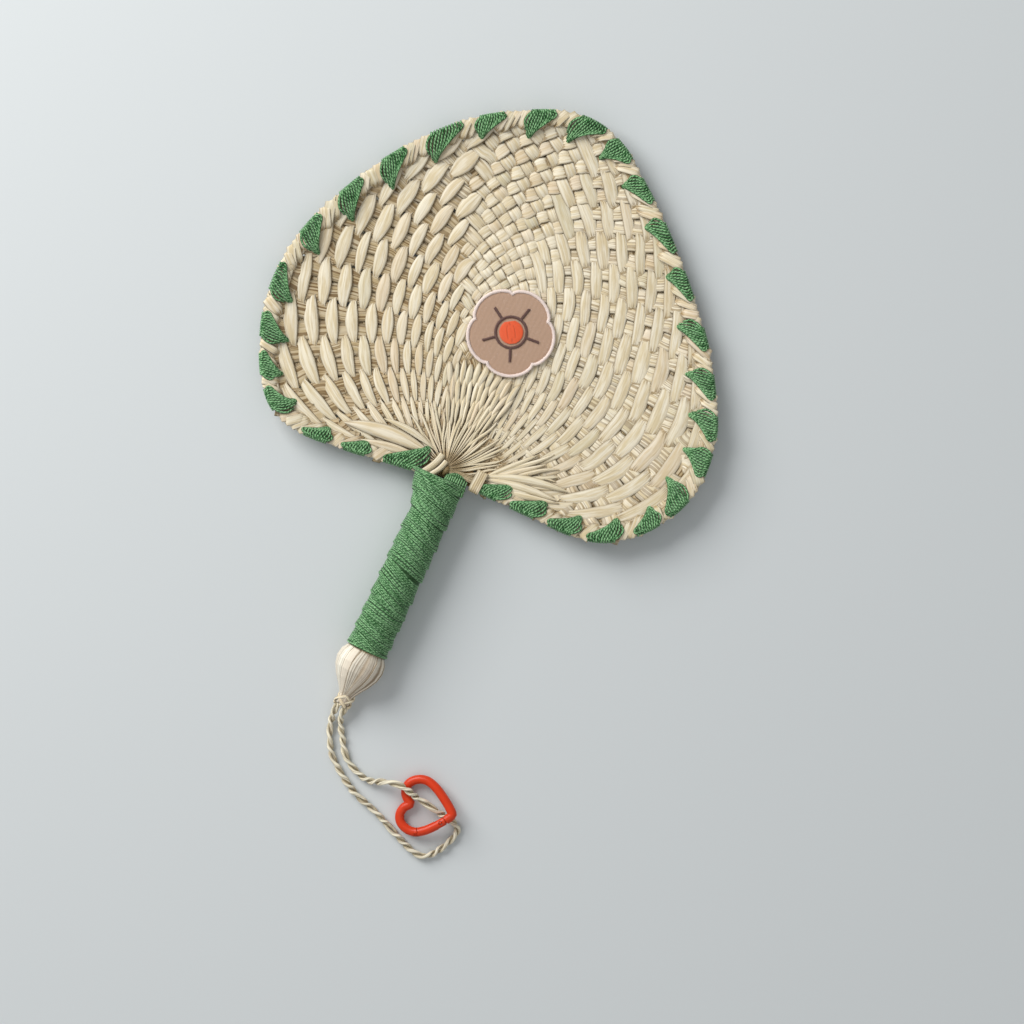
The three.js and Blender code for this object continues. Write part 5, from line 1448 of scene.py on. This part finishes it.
class FAN_OT_bulb(Operator):
    """Folds the pleated palm bulb at the handle's end and ties its neck"""
    bl_idname = "fan.bulb"
    bl_label = "Bulb and Knot"

    def execute(self, context):
        stations = np.array([[0, 0.84, 0.3, 0], [0.1, 0.95, 0.8, 0], [0.27, 1, 1, 0.02],
                             [0.45, 0.93, 1.1, 0.1], [0.64, 0.74, 1.2, 0.33], [0.82, 0.5, 1.2, 0.64],
                             [0.93, 0.37, 1, 0.85], [1, 0.31, 0.8, 1]])
        rng = np.random.default_rng(14)
        folds, per = 15, 12
        share_of = np.cumsum(rng.uniform(0.5, 1.6, folds))
        ends = np.r_[0, share_of / share_of[-1]] * 2 * math.pi
        inside = (np.arange(per) + 0.5) / per
        angle = np.concatenate([a + (b - a) * inside for a, b in zip(ends, ends[1:])])
        # Each fold is a flat leaf: one long side tucks under its neighbour, the other stands proud.
        leaf = np.tile(np.where(inside < 0.86, 0.15 + 0.85 * inside / 0.86, 1 - (inside - 0.86) / 0.14 * 1.1),
                       folds)
        fold_size = np.repeat(rng.uniform(0.6, 1.2, folds), per)
        rings = []
        tone = np.repeat(rng.uniform(0, 1, folds), per)
        shares = np.r_[-0.03, np.linspace(0, 1, 56), 1.1, 1.195]
        for share in shares:
            s = float(np.clip(share, 0, 1))
            wide, pleat, drop = (np.interp(s, stations[:, 0], stations[:, k]) for k in (1, 2, 3))
            swell = 1 + 0.1 * pleat * fold_size * (leaf - 0.6)
            half_w, half_h = 10.9 * wide, max(9.2 * wide, 2.4)
            if share > 1 or share < 0:
                half_w, half_h = half_w * 0.97, half_h * 0.97
            height = HANDLE_HEIGHT + (NECK_HEIGHT - HANDLE_HEIGHT) * drop
            a = angle + 0.3 * s + 0.05 * np.sin(5 * s + 9 * tone)
            p = handle_point(BULB_TOP + share * BULB_LENGTH, 0.0, 0.0, np.cos(a) * half_w * swell)
            p[:, 2] = np.maximum(height + np.sin(a) * half_h * swell, 0.02)
            rings.append(p)
        # Where a fold tucks under its neighbour its lift is low, which darkens it: painted shade in the
        # creases between the folds. The lift also falls towards the neck, darkening the bulb there.
        over = np.tile(np.where(inside < 0.8, 0.55 + inside, -0.5), folds)
        mesh = tube_mesh("folded_palm_bulb", rings, across=np.tile(inside * 1.9 - 0.9, folds),
                         along=(shares * BULB_LENGTH * MM)[:, None], tone=tone,
                         lift=over - 0.35 * ease((shares[:, None] - 0.8) / 0.2))
        finish_piece(link("folded_palm_bulb", mesh, palm_bulb()), "fan", "palm_light", "palm_bulb")

        knot = Strands()
        for m in range(8):
            t = np.linspace(0, 1, 21)
            a = m * 2 * math.pi / 8 + 0.3 + (2.1 + 0.3 * (m % 3)) * (1 if m % 2 else -1) * t
            down = NECK_END - NECK_LENGTH - 0.8 + (NECK_LENGTH + 1.6) * t
            girth = 3.3 + 0.5 * np.sin(math.pi * t) + 0.35 * np.cos(2 * a + m)
            p = handle_point(down, 0.0, 0.0, np.cos(a) * girth)
            p[:, 2] = np.maximum(NECK_HEIGHT + np.sin(a) * girth * 0.7, 0.75)
            knot.add(p, side=sideways(p, np.column_stack([np.cos(a), 0 * a, np.sin(a)])),
                     half_width=(0.62 + 0.12 * np.sin(5 * t + m)) * MM, tone=rng.uniform(0.2, 0.8),
                     along=lengths_along(p) * MM, lift=0.8)
        piece = knot.grow("neck_knot_turns", strand_tree("Cotton threads", False), Sides=10, Flatness=0.8,
                          Finish=palm_rim())
        finish_piece(piece, "fan", "palm_dark", "loop_knot")
        return {"FINISHED"}


# Heart-shaped ring

RING_HEADING = math.radians(7.8)
RING_RISE = math.tan(math.radians(11.5))
RING_NOTCH = np.array([38.3, -142.6])
LOBE_REACH = 3.4
RING_HALF_WIDTH = 11.9
RING_POINT = 19.6
HINGE_SEAM = 0.553
FREE_SEAM = 0.73
GATE_GAP = 0.3
PIN_FROM_SEAM = 2.2
PIN_DIAMETER = 1.2
TONGUE = (4.2, 2.6, 1.3)
LIP_LENGTH = 1.3
# Limits of the tools that cut right through the wire.
EVERYWHERE = (-WIRE_RADIUS - 5, WIRE_RADIUS + 5)

ring_axis = np.array([math.cos(RING_HEADING), math.sin(RING_HEADING), 0.0])
ring_side = np.array([-ring_axis[1], ring_axis[0], 0.0])
ring_normal = np.array([0, 0, 1.0]) - ring_axis * RING_RISE
ring_normal /= np.linalg.norm(ring_normal)


def ring_point(u, v, lift=0.0):
    """Points of the ring's own plane, in mm: along its axis, to its side and off the plane."""
    u, v, lift = np.broadcast_arrays(*(np.asarray(k, float) for k in (u, v, lift)))
    base = np.array([*RING_NOTCH, WIRE_RADIUS + LOBE_REACH * RING_RISE])
    return (base + u[..., None] * (ring_axis + [0, 0, RING_RISE]) + v[..., None] * ring_side
            + lift[..., None] * ring_normal)


def heart_line():
    half = [(a * (LOBE_REACH if k < 4 else RING_POINT), b * RING_HALF_WIDTH)
            for k, (a, b) in enumerate(HEART_SHARES)]
    points = half + [(u, -v) for u, v in half[1:-1][::-1]]
    return curve_through(points, 60, True)


heart = heart_line()
heart_length = lengths_along(heart)[-1]


def heart_at(share):
    """Point and direction of the heart's centre line at a share of its length."""
    s = (np.asarray(share, float) % 1.0) * heart_length
    p = at_length(heart, s)
    q = at_length(heart, (s + 0.02) % heart_length) - at_length(heart, (s - 0.02) % heart_length)
    return p, q / np.linalg.norm(q, axis=1)[:, None]


def wire_rings(start, end, steps):
    """Rings of the ring's round wire between two shares of the heart's length."""
    p, t = heart_at(np.linspace(start, end, steps + 1))
    a = 2 * math.pi * np.arange(28) / 28
    out = WIRE_RADIUS * np.cos(a)
    return ring_point(p[:, :1] - t[:, 1:] * out, p[:, 1:] + t[:, :1] * out, WIRE_RADIUS * np.sin(a))


def solid(name, rings):
    return link(name, tube_mesh(name, rings, smooth=False))


def wire_box(name, share, along, out, lift):
    """A block on the wire at a share of its length, by its limits along, across and off the plane."""
    (p,), (t,) = heart_at([share])
    rings = []
    for a in along:
        u, v = p + t * a, np.array([-t[1], t[0]])
        rings.append([ring_point(*(u + v * o), h) for o, h in
                      ((out[0], lift[0]), (out[1], lift[0]), (out[1], lift[1]), (out[0], lift[1]))])
    return solid(name, rings)


def pin_rings(profile, sides):
    """Rings round the pin's axis from pairs of a radius and a height off the ring's plane."""
    (p,), _ = heart_at([HINGE_SEAM + PIN_FROM_SEAM / heart_length])
    a = 2 * math.pi * np.arange(sides) / sides
    return [ring_point(p[0] + radius * np.cos(a), p[1] + radius * np.sin(a), h) for radius, h in profile]


def pin_post(name, radius, sides=96):
    return solid(name, pin_rings([(radius, h) for h in EVERYWHERE], sides))


def combine(piece, operation, *others):
    """Applies exact booleans to a piece in order, and removes the tools."""
    for other in others:
        step = piece.modifiers.new("Cut", "BOOLEAN")
        step.operation = operation
        step.solver = "EXACT"
        step.object = other
        made = settled(piece)
        piece.modifiers.clear()
        piece.data = made
        bpy.data.objects.remove(other)


class FAN_OT_ring(Operator):
    """Bends the heart-shaped spring-gate ring, its gate and its pin"""
    bl_idname = "fan.ring"
    bl_label = "Heart Ring"

    def execute(self, context):
        share = 1 / heart_length
        pin_share = HINGE_SEAM + PIN_FROM_SEAM * share
        (free, pin_spot), _ = heart_at([FREE_SEAM, pin_share])
        pin_reach = float(np.linalg.norm(free - pin_spot))
        play = GATE_GAP
        slot_length = PIN_FROM_SEAM + play + math.hypot(TONGUE[0] - PIN_FROM_SEAM, TONGUE[1] / 2)
        past_free = FREE_SEAM + WIRE_RADIUS * share

        def outer(start):
            return wire_box("outer_side", FREE_SEAM, EVERYWHERE, (start, EVERYWHERE[1]), EVERYWHERE)

        def lip_wire(name):
            return solid(name, wire_rings(FREE_SEAM - 2 * LIP_LENGTH * share, past_free, 8))

        body = solid("ring_body", wire_rings(FREE_SEAM + WIRE_RADIUS * share / 2,
                                             1 + HINGE_SEAM - GATE_GAP * share, 96))
        nose, lip = lip_wire("nose"), lip_wire("lip")
        combine(nose, "DIFFERENCE", pin_post("reach", pin_reach + GATE_GAP))
        combine(lip, "INTERSECT", outer(GATE_GAP))
        combine(lip, "DIFFERENCE", pin_post("reach", pin_reach - LIP_LENGTH + GATE_GAP))
        tongue = wire_box("tongue", HINGE_SEAM, (-PIN_FROM_SEAM, TONGUE[0]),
                          (-TONGUE[1] / 2, TONGUE[1] / 2), (-TONGUE[2] / 2, TONGUE[2] / 2))
        combine(body, "UNION", nose, lip, tongue)
        combine(body, "DIFFERENCE", pin_post("hole", PIN_DIAMETER / 2 + play, 32))

        gate = solid("ring_gate", wire_rings(HINGE_SEAM, past_free, 24))
        combine(gate, "INTERSECT", pin_post("reach", pin_reach))
        behind = wire_box("behind", pin_share, (EVERYWHERE[0], 0), EVERYWHERE, EVERYWHERE)
        combine(behind, "DIFFERENCE", pin_post("round", PIN_FROM_SEAM))
        slot_half = TONGUE[2] / 2 + play
        slot = wire_box("slot", HINGE_SEAM, (EVERYWHERE[0], slot_length), EVERYWHERE,
                        (-slot_half, slot_half))
        under_lip = outer(0)
        combine(under_lip, "DIFFERENCE", pin_post("reach", pin_reach - LIP_LENGTH))
        combine(gate, "DIFFERENCE", behind, slot, under_lip, pin_post("hole", PIN_DIAMETER / 2 + play, 32))

        material, n = new_material("Red enamel")
        marks = n.group(use_marks_group(), {"Size": 0.004})
        deep = tuple(c * 0.72 for c in colour("enamel")[:3]) + (1,)
        base = n.tint(colour("enamel"), deep, marks["Fade"], 0.5)
        base = n.tint(base, (0.9, 0.45, 0.32, 1), marks["Flecks"], 0.12)
        rough = n.math("MULTIPLY_ADD", marks["Fade"], 0.12, 0.36)
        orange_peel = n.noise(n.object_spot(), 900.0, 2.0)
        finish_material(n, base, rough, n.bump(0.15, 0.00005, orange_peel), Coat_Weight=0.12,
                        Coat_Roughness=0.2, Specular_IOR_Level=0.25)
        for piece, body_name, node in ((body, "ring", "carabiner_body"), (gate, "gate", "carabiner_gate")):
            soften(piece.data, 35)
            dress(piece, material)
            finish_piece(piece, body_name, "enamel_red", node)

        # The pin, with rounded ends that stand a little proud of the wire.
        top = WIRE_RADIUS + 0.2
        end = [(0.02, top), (0.3, top - 0.01), (0.5, top - 0.07), (PIN_DIAMETER / 2, top - 0.22)]
        profile = end + [(radius, -h) for radius, h in end[::-1]]
        mesh = tube_mesh("ring_pin", pin_rings(profile, 40))
        finish_piece(link("ring_pin", mesh, material), "ring", "enamel_red", "carabiner_pin")
        steel = steel_material()
        for name in ("carabiner_spring", "carabiner_plunger"):
            dress(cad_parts[name], steel)
        return {"FINISHED"}


# Flower patch


def flower_ring(radius, inset, height, count=240):
    """The patch's scalloped outline, in mm."""
    angle = 2 * math.pi * np.arange(count) / count
    wave = np.abs(np.cos(2.5 * angle))
    r = radius * (0.87 + 0.13 * np.sqrt(wave)) - inset
    at = angle - PATCH_TURN + math.pi / 2
    return np.column_stack([PATCH_CENTRE[0] + r * np.cos(at), PATCH_CENTRE[1] + r * np.sin(at),
                            np.full(count, height)])


def satin_finish(name, base_name):
    material, n = new_material(name)
    base_colour = colour(base_name)
    bright = tuple(min(1.0, c * 1.25 + 0.04) for c in base_colour[:3]) + (1,)
    dark = tuple(c * 0.55 for c in base_colour[:3]) + (1,)
    drawn = n.vector(n.math("MULTIPLY", n.layer("along"), 900.0), n.math("MULTIPLY", n.layer("across"), 9.0))
    fibre = n.noise(drawn, 1.0, 2.0)
    base = n.blend(n.ramp(fibre, 0.4, 0.7), base_colour, bright)
    # Painted shade on the side of each stitch where its rise is high, the lower side of a laid stitch.
    base = n.tint(base, dark, n.ramp(n.layer("rise"), -0.1, 0.8), 0.8)
    finish_material(n, base, 0.55, n.bump(0.5, 0.00006, fibre), Sheen_Weight=0.2)
    return material


class FAN_OT_patch(Operator):
    """Lays the twill flower patch with its satin border, lines and centre"""
    bl_idname = "fan.patch"
    bl_label = "Flower Patch"

    def execute(self, context):
        bottom = 2 * WEAVE_HALF + PATCH_GAP
        top = bottom + PATCH_THICKNESS
        self.lay_cloth(bottom, top)
        self.stitch(bottom, top)
        return {"FINISHED"}

    def lay_cloth(self, bottom, top):
        shares = [0.1, 0.5, 1.0, 1.0, 0.985, 0.9, 0.7, 0.5, 0.3, 0.1]
        heights = [bottom] * 3 + [top + rise for rise in (-0.25, 0, 0.04, 0.08, 0.1, 0.1, 0.1)]
        edge = flower_ring(PATCH_RADIUS, 0.9, 0.0)
        middle = np.array([*PATCH_CENTRE, 0.0])
        mesh = tube_mesh("patch_twill", [middle + (edge - middle) * share + [0, 0, h]
                                         for share, h in zip(shares, heights)])
        material, n = new_material("Patch twill")
        spot = n.object_spot()
        turned = n.add("ShaderNodeMapping", {"Vector": spot, "Rotation": (0, 0, PATCH_TURN)}).outputs[0]
        x, y = n.add("ShaderNodeSeparateXYZ", {0: turned}).outputs[:2]
        step = 2 * math.pi / 0.00078
        weft = n.math("SINE", n.math("MULTIPLY", n.math("ADD", x, y), step))
        lean = n.math("SUBTRACT", x, n.math("MULTIPLY", y, 0.2))
        warp = n.math("SINE", n.math("MULTIPLY", lean, step * 2.2))
        rib = n.math("MULTIPLY_ADD", n.math("ADD", weft, n.math("MULTIPLY", warp, 0.5)), 0.33, 0.5)
        fuzz = n.noise(spot, 2400.0, 3.0, 0.6)
        # The twill's ribs are darker in the grooves between them: painted shade.
        low = tuple(c * 0.66 for c in colour("cloth")[:3]) + (1,)
        base = n.blend(n.ramp(rib, 0.2, 0.85), low, colour("cloth"))
        base = n.tint(base, colour("satin_pale"), n.ramp(fuzz, 0.55, 0.75), 0.35)
        height = n.math("ADD", rib, n.math("MULTIPLY", fuzz, 0.4))
        finish_material(n, base, 0.9, n.bump(0.8, 0.00015, height), Sheen_Weight=0.2)
        twill = finish_piece(link("patch_twill", mesh, material), "fan", "cloth_tan", "patch_cloth")
        x, y = edge[:, 0], edge[:, 1]

    def stitch(self, bottom, top):
        tree = stitch_tree()

        def stitches(name, lines, slot, node, **values):
            strands = Strands()
            for line in lines:
                strands.add(line, tone=0.0)
            finish_piece(strands.grow(name, tree, **values), "fan", slot, node)

        border = flower_ring(PATCH_RADIUS, 0.75, bottom + 0.85)
        stitches("patch_border_stitches", [np.vstack([border, border[:1]])], "thread_cream", "patch_border",
                 Spacing=sizes().stitch_spacing, Length=1.75 * MM, Thickness=0.62 * MM, Height=1.3 * MM,
                 Slant=0.0, Seed=4, Finish=satin_finish("Pale satin", "satin_pale"))

        # Five lines run out from a circle round the flower's centre.
        eye_radius, line_end, centre_radius = 7.0, 13.2, 5.35
        lines = []
        for k in range(5):
            a = math.pi / 2 - PATCH_TURN + k * 2 * math.pi / 5
            d = np.array([math.cos(a), math.sin(a)])
            r = np.linspace(eye_radius + 0.2, line_end, 12)[:, None]
            lines.append(np.column_stack([PATCH_CENTRE + d * r, np.full(12, top + 0.32)]))
        a = np.linspace(0, 2 * math.pi, 80)
        lines.append(np.column_stack([PATCH_CENTRE[0] + eye_radius * np.cos(a),
                                      PATCH_CENTRE[1] + eye_radius * np.sin(a), np.full(80, top + 0.34)]))
        stitches("patch_line_stitches", lines, "thread_brown", "patch_petal_lines", Spacing=0.36 * MM,
                 Length=1.5 * MM, Thickness=0.5 * MM, Height=0.6 * MM, Slant=0.35, Seed=9,
                 Finish=satin_finish("Brown satin", "satin_brown"))

        centre = Strands()
        c, s = math.cos(0.5), math.sin(0.5)
        for row in np.arange(-5.0, 5.01, 0.46):
            half = math.sqrt(max(centre_radius ** 2 - row ** 2, 0.3))
            parts = max(1, round(2 * half / 3.6))
            for part in range(parts):
                a, b = (-half + 2 * half * (part + f) / parts for f in (0.0, 1.0))
                t = np.linspace(a, b + 0.25, 8)
                crown = top + 0.35 + 0.35 * (1 - (t / 5.6) ** 2 - (row / 5.6) ** 2)
                line = np.column_stack([PATCH_CENTRE[0] + c * t - s * row,
                                        PATCH_CENTRE[1] + s * t + c * row, crown])
                centre.add(line, tone=0.0, along=lengths_along(line) * MM,
                           side=sideways(line, [0, 0, 1]),
                           half_width=np.r_[0.12, np.full(6, 0.27), 0.12] * MM)
        eye = centre.grow("patch_centre_satin", strand_tree("Cotton threads", False), Sides=8,
                          Flatness=0.8, Finish=satin_finish("Orange satin", "satin_orange"))
        finish_piece(eye, "fan", "thread_orange", "patch_flower_eye")


class FAN_OT_stage(Operator):
    """Lays the plain floor that the fan rests on"""
    bl_idname = "fan.stage"
    bl_label = "Floor"

    def execute(self, context):
        mesh = bpy.data.meshes.new("floor")
        corners = [(-1, -1), (1, -1), (1, 1), (-1, 1)]
        mesh.from_pydata([(x * FLOOR_HALF, y * FLOOR_HALF, FLOOR_LEVEL) for x, y in corners], [],
                         [(0, 1, 2, 3)])
        material, n = new_material("Plain floor")
        finish_material(n, colour("floor"), 0.9, Specular_IOR_Level=0.2)
        link("floor", mesh, material)
        return {"FINISHED"}


OPERATORS = (FAN_OT_view, FAN_OT_wrist_loop, FAN_OT_weave, FAN_OT_throat, FAN_OT_rim, FAN_OT_lashing,
             FAN_OT_handle, FAN_OT_bulb, FAN_OT_ring, FAN_OT_patch, FAN_OT_stage)


class FAN_PT_panel(Panel):
    """Lists the fan's sizes, colours and pieces"""
    bl_idname = "FAN_PT_panel"
    bl_label = "Palm Leaf Fan"
    bl_space_type = "VIEW_3D"
    bl_region_type = "UI"
    bl_category = "Palm Fan"

    def draw(self, context):
        column = self.layout.column()
        for group in (context.scene.fan_sizes, context.scene.fan_colours):
            for key in type(group).__annotations__:
                column.prop(group, key)
            column.separator()
        for operator in OPERATORS:
            column.operator(operator.bl_idname)


CLASSES = (FanSizes, FanColours, *OPERATORS, FAN_PT_panel)


def register():
    for item in CLASSES:
        bpy.utils.register_class(item)
    bpy.types.Scene.fan_sizes = PointerProperty(type=FanSizes)
    bpy.types.Scene.fan_colours = PointerProperty(type=FanColours)


def unregister():
    del bpy.types.Scene.fan_colours
    del bpy.types.Scene.fan_sizes
    for item in reversed(CLASSES):
        bpy.utils.unregister_class(item)


def main():
    register()
    for operator in OPERATORS:
        group, name = operator.bl_idname.split(".")
        getattr(getattr(bpy.ops, group), name)()
    bpy.context.view_layer.update()


if __name__ == "__main__":
    main()
